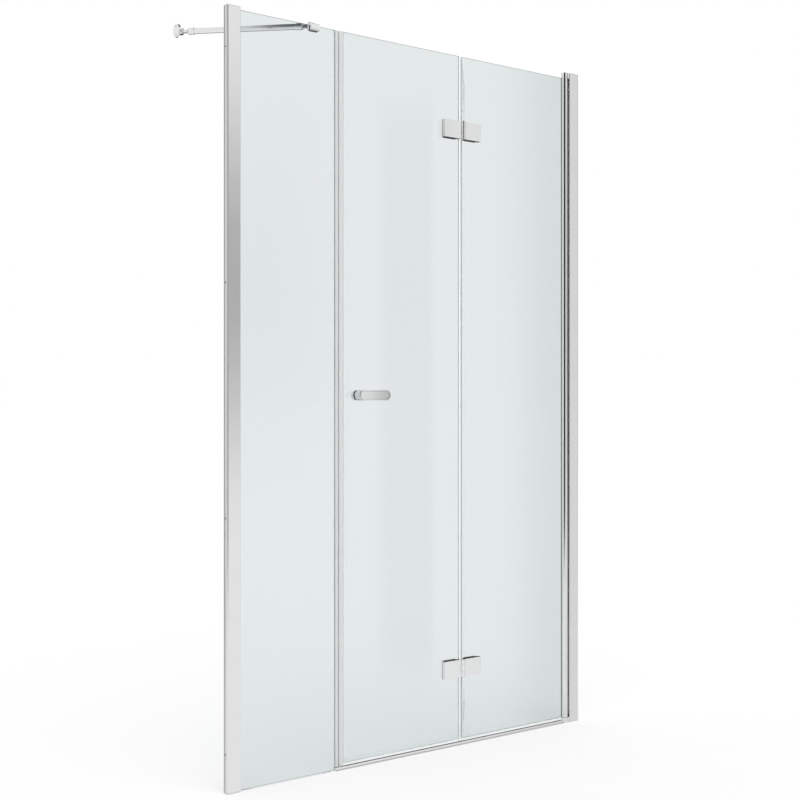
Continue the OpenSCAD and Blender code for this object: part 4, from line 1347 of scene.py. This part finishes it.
@dataclass
class LeafHinge:
    """Glass-to-glass hinge: outer plates with knuckles, inner plates, screws and pin."""

    level: str
    set_back: float = 6.3
    width: float = 60.0
    inner_width: float = 44.0
    corner: float = 1.2
    outer: float = 10.0
    inner: float = 4.0
    pin_out: float = 15.0
    plate_face: float = 4.5
    knuckle: float = 5.5
    arm: float = 7.0
    middle_knuckle: float = 18.0
    gap: float = 0.3
    screw_span: float = 27.0
    screw: float = 2.5
    screw_head: Head = Head(4.8, 2.4, 1.7, 1.5, 2.5)
    screw_room: Pair = (0.25, 0.15)  # round the head and round the shank
    pin_head: float = 1.5
    pin_head_in: float = 0.8
    pin_head_edge: float = 0.6
    pin_room: float = 0.1
    web_in: float = 0.02
    web_root_in: float = 0.3
    flat: float = 0.9  # faces are level where their normal has this much Z

    def pin(self) -> Vector:
        """Middle of the hinge pin."""
        return Span.of(f"{self.level}_hinge_pin").middle

    def height(self) -> float:
        """Height of the hinge."""
        return Span.of(f"{self.level}_wall_inner_plate").size.z

    def build(self, bench: Workbench) -> None:
        """Builds and dresses the hinge."""
        top, middle = self.height() / 2, self.middle_knuckle
        short = top - middle / 2 - self.gap
        self.build_outer(bench, "wall", [(-top, short), (top - short, short)])
        self.build_inner(bench, "wall")
        self.build_outer(bench, "handle", [(-middle / 2, middle)])
        self.build_inner(bench, "handle")
        step, end = self.pin_head_in, top + self.pin_head
        r, rim = self.screw, self.knuckle - step
        edge = end - self.pin_head_edge
        upper = [(r, top), (rim, top), (rim, edge), (rim - step, end), (0, end)]
        blank = Blank()
        blank.turned([(u, -v) for u, v in reversed(upper)] + upper, 36, at=self.pin())
        bench.place(blank, f"{self.level}_pin", f"{self.level}_hinge_pin", (STEEL,), None)

    def build_outer(self, bench: Workbench, leaf: str, knuckles: Sequence[Point]) -> None:
        """Builds one outer plate with its knuckles.

        Args:
            bench: the workbench.
            leaf: wall or handle.
            knuckles: (foot, height) of each knuckle, from the hinge's middle.
        """
        face = self.pin_out - self.plate_face
        back, root = face - self.outer, self.set_back + self.arm
        blank = Blank()
        outline, at = rounded_box(self.width, self.height(), self.corner), (self.middle(), face, 0)
        blank.plate(outline, self.outer, segments=4, plane=Plane.XZ_OUT, at=at)
        web = [
            Corner(0, 0),
            Corner(root, back + self.web_in),
            Corner(root, face - self.web_in),
            Corner(self.set_back, face - self.web_in),
            Corner(0, self.knuckle - self.web_root_in),
        ]
        bore, r = self.screw + self.pin_room, self.knuckle
        for foot, high in knuckles:
            blank.plate(web, high, at=(0, 0, foot))
            roll = [(bore, 0), (r, 0), (r, high), (bore, high), (bore, 0)]
            blank.turned(roll, 40, at=(0, 0, foot))
        # the level faces take the painted dark reflection
        blank.paint(face for face in blank.bm.faces if abs(face.normal.z) > self.flat)
        node = f"{self.level}_{leaf}_hinge_plate"
        self.on_leaf(blank, leaf)
        bench.place(blank, f"{self.level}_{leaf}_outer", node, (CHROME, DARK_REFLECTION_SIDE), Softening(0.5, 3))

    def build_inner(self, bench: Workbench, leaf: str) -> None:
        """Builds one countersunk inner plate.

        Args:
            bench: the workbench.
            leaf: wall or handle.
        """
        head, (above, below) = self.screw_head, self.screw_room
        rest = self.inner - head.height
        outline = rounded_box(self.inner_width, self.height(), self.corner)
        face = self.pin_out + self.plate_face + self.inner
        blank = Blank()
        layers = (
            (head.height, face, head.radius + above),
            (rest, face - head.height, self.screw + below),
        )
        for thick, out, radius in layers:
            holes = [(0, s * self.screw_span / 2, radius) for s in (-1, 1)]
            blank.plate(outline, thick, holes, (), 4, Plane.XZ_OUT, (self.middle(), out, 0))
        self.on_leaf(blank, leaf)
        node = f"{self.level}_{leaf}_inner_plate"
        bench.place(blank, f"{self.level}_{leaf}_inner", node, soften=Softening(0.3, 2))

    def middle(self) -> float:
        """Distance from the pin to the middle of a plate."""
        return self.set_back + self.width / 2

    def on_leaf(self, blank: Blank, leaf: str) -> None:
        """Moves a plate from the pin's axis to its leaf."""
        if leaf == "handle":
            blank.flip_x()
        blank.move(blank.bm.verts, self.pin())

    def screw_places(self, leaf: str) -> list[Point]:
        """(X, Z) of the screws on one leaf."""
        pin = self.pin()
        x = pin.x + self.middle() * (1 if leaf == "wall" else -1)
        return [(x, pin.z + s * self.screw_span / 2) for s in (-1, 1)]


def hinge_screws(bench: Workbench, leaf: str, hinges: Sequence[LeafHinge]) -> None:
    """Builds the countersunk screws of one leaf's hinges.

    Args:
        bench: the workbench.
        leaf: wall or handle.
        hinges: the hinges.
    """
    span = Span.of(f"{leaf}_hinge_screws")
    blank = Blank()
    for hinge in hinges:
        head = hinge.screw_head
        shank = (hinge.screw, span.size.y - head.height)
        for x, z in hinge.screw_places(leaf):
            blank.screw(head, shank, plane=Plane.XZ_IN, at=(x, span.high.y - head.height, z))
    bench.place(blank, f"{leaf}_leaf_screws", f"{leaf}_hinge_screws", soften=Softening(0.15, 1))


@dataclass
class Handle:
    """Round boss on the glass with a pill-shaped plate, and a knob inside."""

    boss: float = 13.0
    groove: Pair = (3.0, 2.0)  # width and depth
    neck_root: float = 0.2
    dish: Triple = (3.0, 0.6, 1.2)  # width of its rim and of its slope, and its depth
    bolt: Head = Head(5.3, 4.0, 2.6, 2.6)
    bolt_radius: float = 3.0
    bolt_room: float = 0.15
    boss_edge: float = 0.8
    knob_bore: float = 3.2
    knob_foot: Pair = (2.2, 2.6)  # its taper, inwards and along
    knob_edge: Pair = (2.0, 0.6)  # how far its rounding reaches, and the rounding's middle
    weld: float = 0.05  # points of the pull plate's outline closer than this are one point
    flat: float = 0.9  # faces are its front where their normal has this much -Y

    def place(self) -> Vector:
        """Middle of the boss at the middle of the glass."""
        middle = Span.of("handle_boss").middle
        return Vector((middle.x, 0, middle.z))

    def build(self, bench: Workbench) -> None:
        """Builds and dresses the handle."""
        self.build_boss(bench)
        bench.dress("handle_washers", RUBBER)
        self.build_plate(bench)
        self.build_knob(bench)

    def build_boss(self, bench: Workbench) -> None:
        """Builds the boss, with painted shade in the groove before the plate."""
        at, span, r = self.place(), Span.of("handle_boss"), self.boss
        near, far = -span.high.y, -span.low.y
        (width, depth), edge = self.groove, self.boss_edge
        step, rim = far - width, r - edge
        boss = Blank()
        drum = [(0, near), (rim, near), (r, near + edge), (r, step - edge), (rim, step), (0, step)]
        boss.turned(drum, FINE_STEPS, Plane.XZ_OUT, at)
        root, thin = step - self.neck_root, r - depth
        neck = [(0, root), (thin, root), (thin, far), (0, far)]
        ring = boss.turned(neck, FINE_STEPS, Plane.XZ_OUT, at)
        # the groove's neck takes the painted shade
        boss.paint({face for vert in ring for face in vert.link_faces})
        bench.place(boss, "boss", "handle_boss", (CHROME, GROOVE_PAINTED_SHADE), Softening(0.25, 2))

    def build_plate(self, bench: Workbench) -> None:
        """Builds the pull plate, with a shallow dish in its front."""
        span = Span.of("handle_plate")
        length, thick, tall = span.size
        at = (span.middle.x, span.high.y, span.middle.z)
        grip = Blank()
        grip.plate(rounded_box(length, tall, tall / 2), thick, (), (), 20, Plane.XZ_OUT, at)
        bmesh.ops.remove_doubles(grip.bm, verts=grip.bm.verts, dist=self.weld)
        grip.bm.normal_update()
        front = [face for face in grip.bm.faces if face.normal.y < -self.flat]
        front = bmesh.ops.dissolve_faces(grip.bm, faces=front)["region"]
        rim, slope, depth = self.dish
        bmesh.ops.inset_region(grip.bm, faces=front, thickness=rim, use_even_offset=True)
        wall = bmesh.ops.inset_region(
            grip.bm, faces=front, thickness=slope, depth=-depth, use_even_offset=True
        )
        # the dish's sloping wall takes the painted dark reflection
        grip.paint(wall["faces"])
        bench.place(grip, "pull_plate", "handle_plate", (CHROME, DARK_REFLECTION_SIDE), Softening(0.6, 3))

    def build_knob(self, bench: Workbench) -> None:
        """Builds the inner knob and the bolt that holds it."""
        at, span, head = self.place(), Span.of("inner_knob"), self.bolt
        r, (near, far) = span.high.x - at.x, (span.low.y, span.high.y)
        seat, recess, bore = far - head.height, head.radius + self.bolt_room, self.knob_bore
        (foot_in, foot_up), (edge, middle) = self.knob_foot, self.knob_edge
        knob, bolt = Blank(), Blank()
        outside = [(bore, near), (r - foot_in, near), (r, near + foot_up), (r, far - edge)]
        outside += [(r - middle, far - middle), (r - edge, far)]
        inside = [(recess, far), (recess, seat), (bore, seat), (bore, near)]
        knob.turned(outside + inside, FINE_STEPS, Plane.XZ_IN, at)
        bench.place(knob, "knob", "inner_knob", soften=None)
        span = Span.of("handle_bolt")
        shank = (self.bolt_radius, span.size.y - head.height)
        foot = at + Vector((0, span.high.y - head.height, 0))
        bolt.screw(head, shank, 32, Plane.XZ_IN, foot)
        bench.place(bolt, "bolt", "handle_bolt", soften=Softening(0.4, 2))


@dataclass
class Leaves:
    """The two folding leaves with their hinges, strips and handle."""

    fold_bead: Pair = (10.5, 9.0)  # width and depth
    fold_room: float = 0.5
    hinges: Sequence[LeafHinge] = field(default_factory=lambda: (LeafHinge("upper"), LeafHinge("lower")))
    handle: Handle = field(default_factory=Handle)

    def build(self, bench: Workbench) -> None:
        """Builds and dresses the leaves."""
        at = self.handle.place()
        for leaf, clear, extra in (("wall", POST_PANE_PAINTED_SHADE, []), ("handle", PANE, [(at.x, at.z)])):
            holes = [place for hinge in self.hinges for place in hinge.screw_places(leaf)]
            Pane(f"{leaf}_leaf_glass", holes + extra, clear).build(bench)
            Sweep(f"{leaf}_leaf_sweep").build(bench)
            hinge_screws(bench, leaf, self.hinges)
        for hinge in self.hinges:
            hinge.build(bench)
        edge, run = Span.of("handle_leaf_glass").low.x, Span.of("closing_strip")
        strip = ClipStrip("closing_strip", edge, -1, 0)
        strip.width = edge - strip.seat_gap - run.low.x
        strip.build(bench, [(run.low.z, run.high.z)])
        self.build_fold(bench)
        self.handle.build(bench)

    def build_fold(self, bench: Workbench) -> None:
        """Builds the strip in the fold, which is left out behind the hinges."""
        run, edge = Span.of("fold_strip"), Span.of("wall_leaf_glass").low.x
        clear = self.hinges[0].height() / 2 + self.fold_room
        high, low = (hinge.pin().z for hinge in self.hinges)
        lengths = [(run.low.z, low - clear), (low + clear, high - clear), (high + clear, run.high.z)]
        ClipStrip("fold_strip", edge, -1, *self.fold_bead).build(bench, lengths)


# ---- studio


@dataclass(frozen=True)
class DarkPart:
    """A dark part of the room, by its angle round the Z axis, in degrees."""

    middle: float
    full: float  # distance from the middle up to which it is dark
    gone: float  # distance at which it has gone
    depth: float  # darkness, up to 1

    def at(self, turn: Value) -> Value:
        """How dark it is at an angle, from 0 to its depth."""
        offset = turn.graph.math("WRAP", turn - self.middle, 180.0, -180.0)
        return (1 - abs(offset).step(self.full, self.gone)) * self.depth


@dataclass
class Studio:
    """Pale floor, plain light and the camera. Lengths are in metres, angles in degrees."""

    camera_at: Triple = (-2.154, -2.755, 0.9675)
    looks: Triple = (0.604, 0.797, 0.0)
    lens: float = 57.38  # millimetres
    sensor: float = 36.0  # millimetres
    clip: Pair = (0.05, 200.0)
    floor_size: float = 400.0
    floor_drop: float = 0.0005
    paint: float = 0.5  # tone of the floor's paint
    ambient: float = 0.62  # light of the surroundings on matt surfaces
    wall: float = 0.93  # tone of the room in mirrors
    sun: float = 1.2
    sun_rise: float = 0.86  # Z of the direction to the lamp
    sun_turn: float = 250.0
    sun_spread: float = 50.0
    # the dark room behind the camera starts, is full, fades and ends at these y - x
    behind: tuple[float, float, float, float] = (-0.97, -0.87, 0.31, 0.35)
    behind_depth: float = 0.97
    behind_on_floor: Pair = (2.3, 6.0)  # distances over which the floor takes it up
    ends: Sequence[DarkPart] = (
        DarkPart(17.0, 37.0, 41.0, 0.9), DarkPart(-16.0, 30.0, 36.0, 0.15), DarkPart(150.0, 16.0, 28.0, 0.2)
    )
    band: DarkPart = DarkPart(-66.0, 7.0, 12.0, 0.5)
    band_tilt: Triple = (5.4, 1.0, 11.0)  # its middle, and how far it is full and gone
    # the slit starts, is full, fades and ends at these angles round the Z axis
    slit: tuple[float, float, float, float] = (-54.2, -53.2, -51.6, -51.2)
    slit_tilt: Triple = (0.5, 11.0, 14.0)
    slit_depth: float = 0.6

    def world(self) -> None:
        """Makes the surroundings: white to the eye, with a few dark areas for metal to show."""
        world = bpy.data.worlds.new("studio")
        bpy.context.scene.world = world
        world.use_nodes = True
        graph = Graph(world.node_tree)
        ray = graph.node("ShaderNodeTexCoord").outputs["Generated"]
        x, y, z = graph.split(ray)
        tilt = graph.math("ARCSINE", z) * DEGREES
        dark = self.dark_side(x, y).max(self.dark_ends(self.turn(x, y), tilt))
        scattered, polished = self.paths(graph)
        seen = polished * (self.wall * (1 - dark)) + (1 - polished)
        level = scattered * self.ambient + (1 - scattered) * seen
        back = graph.node("ShaderNodeBackground", inputs={"Color": level})
        graph.node("ShaderNodeOutputWorld", inputs={"Surface": back.outputs[0]})

    def turn(self, x: Value, y: Value) -> Value:
        """Angle of a direction round the Z axis, in degrees."""
        return x.graph.math("ARCTAN2", y, x) * DEGREES

    def dark_side(self, x: Value, y: Value) -> Value:
        """How dark polished metal shows the room behind the camera, by the direction's X and Y."""
        start, full, fades, end = self.behind
        across = y - x
        return across.step(start, full) * (1 - across.step(fades, end)) * self.behind_depth

    def dark_ends(self, turn: Value, tilt: Value) -> Value:
        """How dark it shows the rest of the room: both ends, a soft band and an upright slit.

        Args:
            turn: angle of the direction round the Z axis, in degrees.
            tilt: its angle above the floor, in degrees.

        Returns:
            Darkness between 0 and 1.
        """
        level, full, gone = self.band_tilt
        dark = self.band.at(turn) * (1 - abs(tilt - level).step(full, gone))
        start, left, right, end = self.slit
        level, full, gone = self.slit_tilt
        slit = turn.step(start, left) * (1 - turn.step(right, end))
        dark = dark.max(slit * (1 - abs(tilt - level).step(full, gone)) * self.slit_depth)
        for part in self.ends:
            dark = dark.max(part.at(turn))
        return dark

    def paths(self, graph: Graph) -> list[Value]:
        """Whether a ray comes from a matt surface, and whether it comes from a mirror."""
        path = graph.node("ShaderNodeLightPath").outputs
        return [Value(graph, path[name]).step(0.0, 1.0) for name in ("Diffuse Depth", "Glossy Depth")]

    def floor(self) -> None:
        """Makes the pale floor, which shows white and keeps the shadows."""
        bm = bmesh.new()
        bmesh.ops.create_grid(bm, x_segments=1, y_segments=1, size=self.floor_size / 2)
        bmesh.ops.translate(bm, vec=(0, 0, -self.floor_drop), verts=bm.verts)
        mesh = bpy.data.meshes.new("floor")
        bm.to_mesh(mesh)
        bm.free()
        floor = bpy.data.objects.new("floor", mesh)
        bpy.context.scene.collection.objects.link(floor)
        material = bpy.data.materials.new("floor_paint")
        material.use_nodes = True
        self.paint_floor(Graph(material.node_tree))
        mesh.materials.append(material)
        floor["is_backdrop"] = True

    def paint_floor(self, graph: Graph) -> None:
        """Draws the floor: paint that glows up to white, and a painted reflection of the room's dark areas,
        which only mirrors see.
        """
        scattered, polished = self.paths(graph)
        lit = self.paint * (self.ambient + self.sun * self.sun_rise / math.pi)
        paint = graph.node("ShaderNodeBsdfDiffuse", inputs={"Color": rgba(*[self.paint] * 3)})
        glow = graph.node("ShaderNodeEmission", inputs={"Color": (1 - scattered) * (1.0 - lit)})
        both = graph.node("ShaderNodeAddShader", inputs={0: paint.outputs[0], 1: glow.outputs[0]})
        # painted reflection: for rays from mirrors the floor glows with the room's dark areas
        x, y, _ = graph.split(graph.coordinates())
        away = graph.math("SQRT", x * x + y * y)
        side = self.dark_side(x / away, y / away) * away.step(*self.behind_on_floor)
        eye_x, eye_y, eye_z = self.camera_at
        x, y = x - eye_x, y + eye_y  # from the eye's image in the front, which is at -eye_y
        far = graph.math("SQRT", x * x + y * y)
        tilt = graph.math("ARCTAN2", eye_z, far) * -DEGREES
        shown = self.wall * (1 - side.max(self.dark_ends(self.turn(x, y), tilt)))
        image = graph.node("ShaderNodeEmission", inputs={"Color": shown})
        parts = {0: polished, 1: both.outputs[0], 2: image.outputs[0]}
        graph.surface(graph.node("ShaderNodeMixShader", inputs=parts).outputs[0])

    def lamp(self) -> None:
        """Hangs one very soft lamp, far off and above the camera's left."""
        light = bpy.data.lights.new("key", "SUN")
        light.energy = self.sun
        light.angle = math.radians(self.sun_spread)
        lamp = bpy.data.objects.new("key", light)
        lamp.visible_glossy = False
        lamp.visible_transmission = False
        level = math.sqrt(1 - self.sun_rise**2)
        turn = math.radians(self.sun_turn)
        towards = Vector((level * math.cos(turn), level * math.sin(turn), self.sun_rise))
        lamp.rotation_euler = towards.to_track_quat("Z", "Y").to_euler()
        bpy.context.scene.collection.objects.link(lamp)

    def camera(self) -> None:
        """Sets the camera at the photograph's angle."""
        lens = bpy.data.cameras.new("camera")
        lens.lens = self.lens
        lens.sensor_width = self.sensor
        lens.clip_start, lens.clip_end = self.clip
        camera = bpy.data.objects.new("camera", lens)
        camera.location = self.camera_at
        camera.rotation_euler = Vector(self.looks).to_track_quat("-Z", "Y").to_euler()
        bpy.context.scene.collection.objects.link(camera)
        bpy.context.scene.camera = camera

    def build(self) -> None:
        """Builds the whole studio."""
        bpy.context.scene.view_settings.view_transform = "Standard"
        self.world()
        self.floor()
        self.lamp()
        self.camera()


def corners(box: tuple[Vector, Vector]) -> list[list[float]]:
    """A box as plain lists of numbers."""
    return [list(corner) for corner in box]


def main() -> None:
    """Builds the studio and every piece of the shower front."""
    logging.basicConfig(level=logging.INFO, format="%(message)s")
    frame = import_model()
    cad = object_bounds()
    bench = Workbench(frame)
    Studio().build()
    for side in ("left", "right"):
        WallProfile(side).build(bench)
    FixedPanel().build(bench)
    HingePost().build(bench)
    Threshold().build(bench)
    Leaves().build(bench)
    bench.dress_rest()
    {"cad": corners(cad), "scene": corners(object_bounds())}


if __name__ == "__main__":
    main()
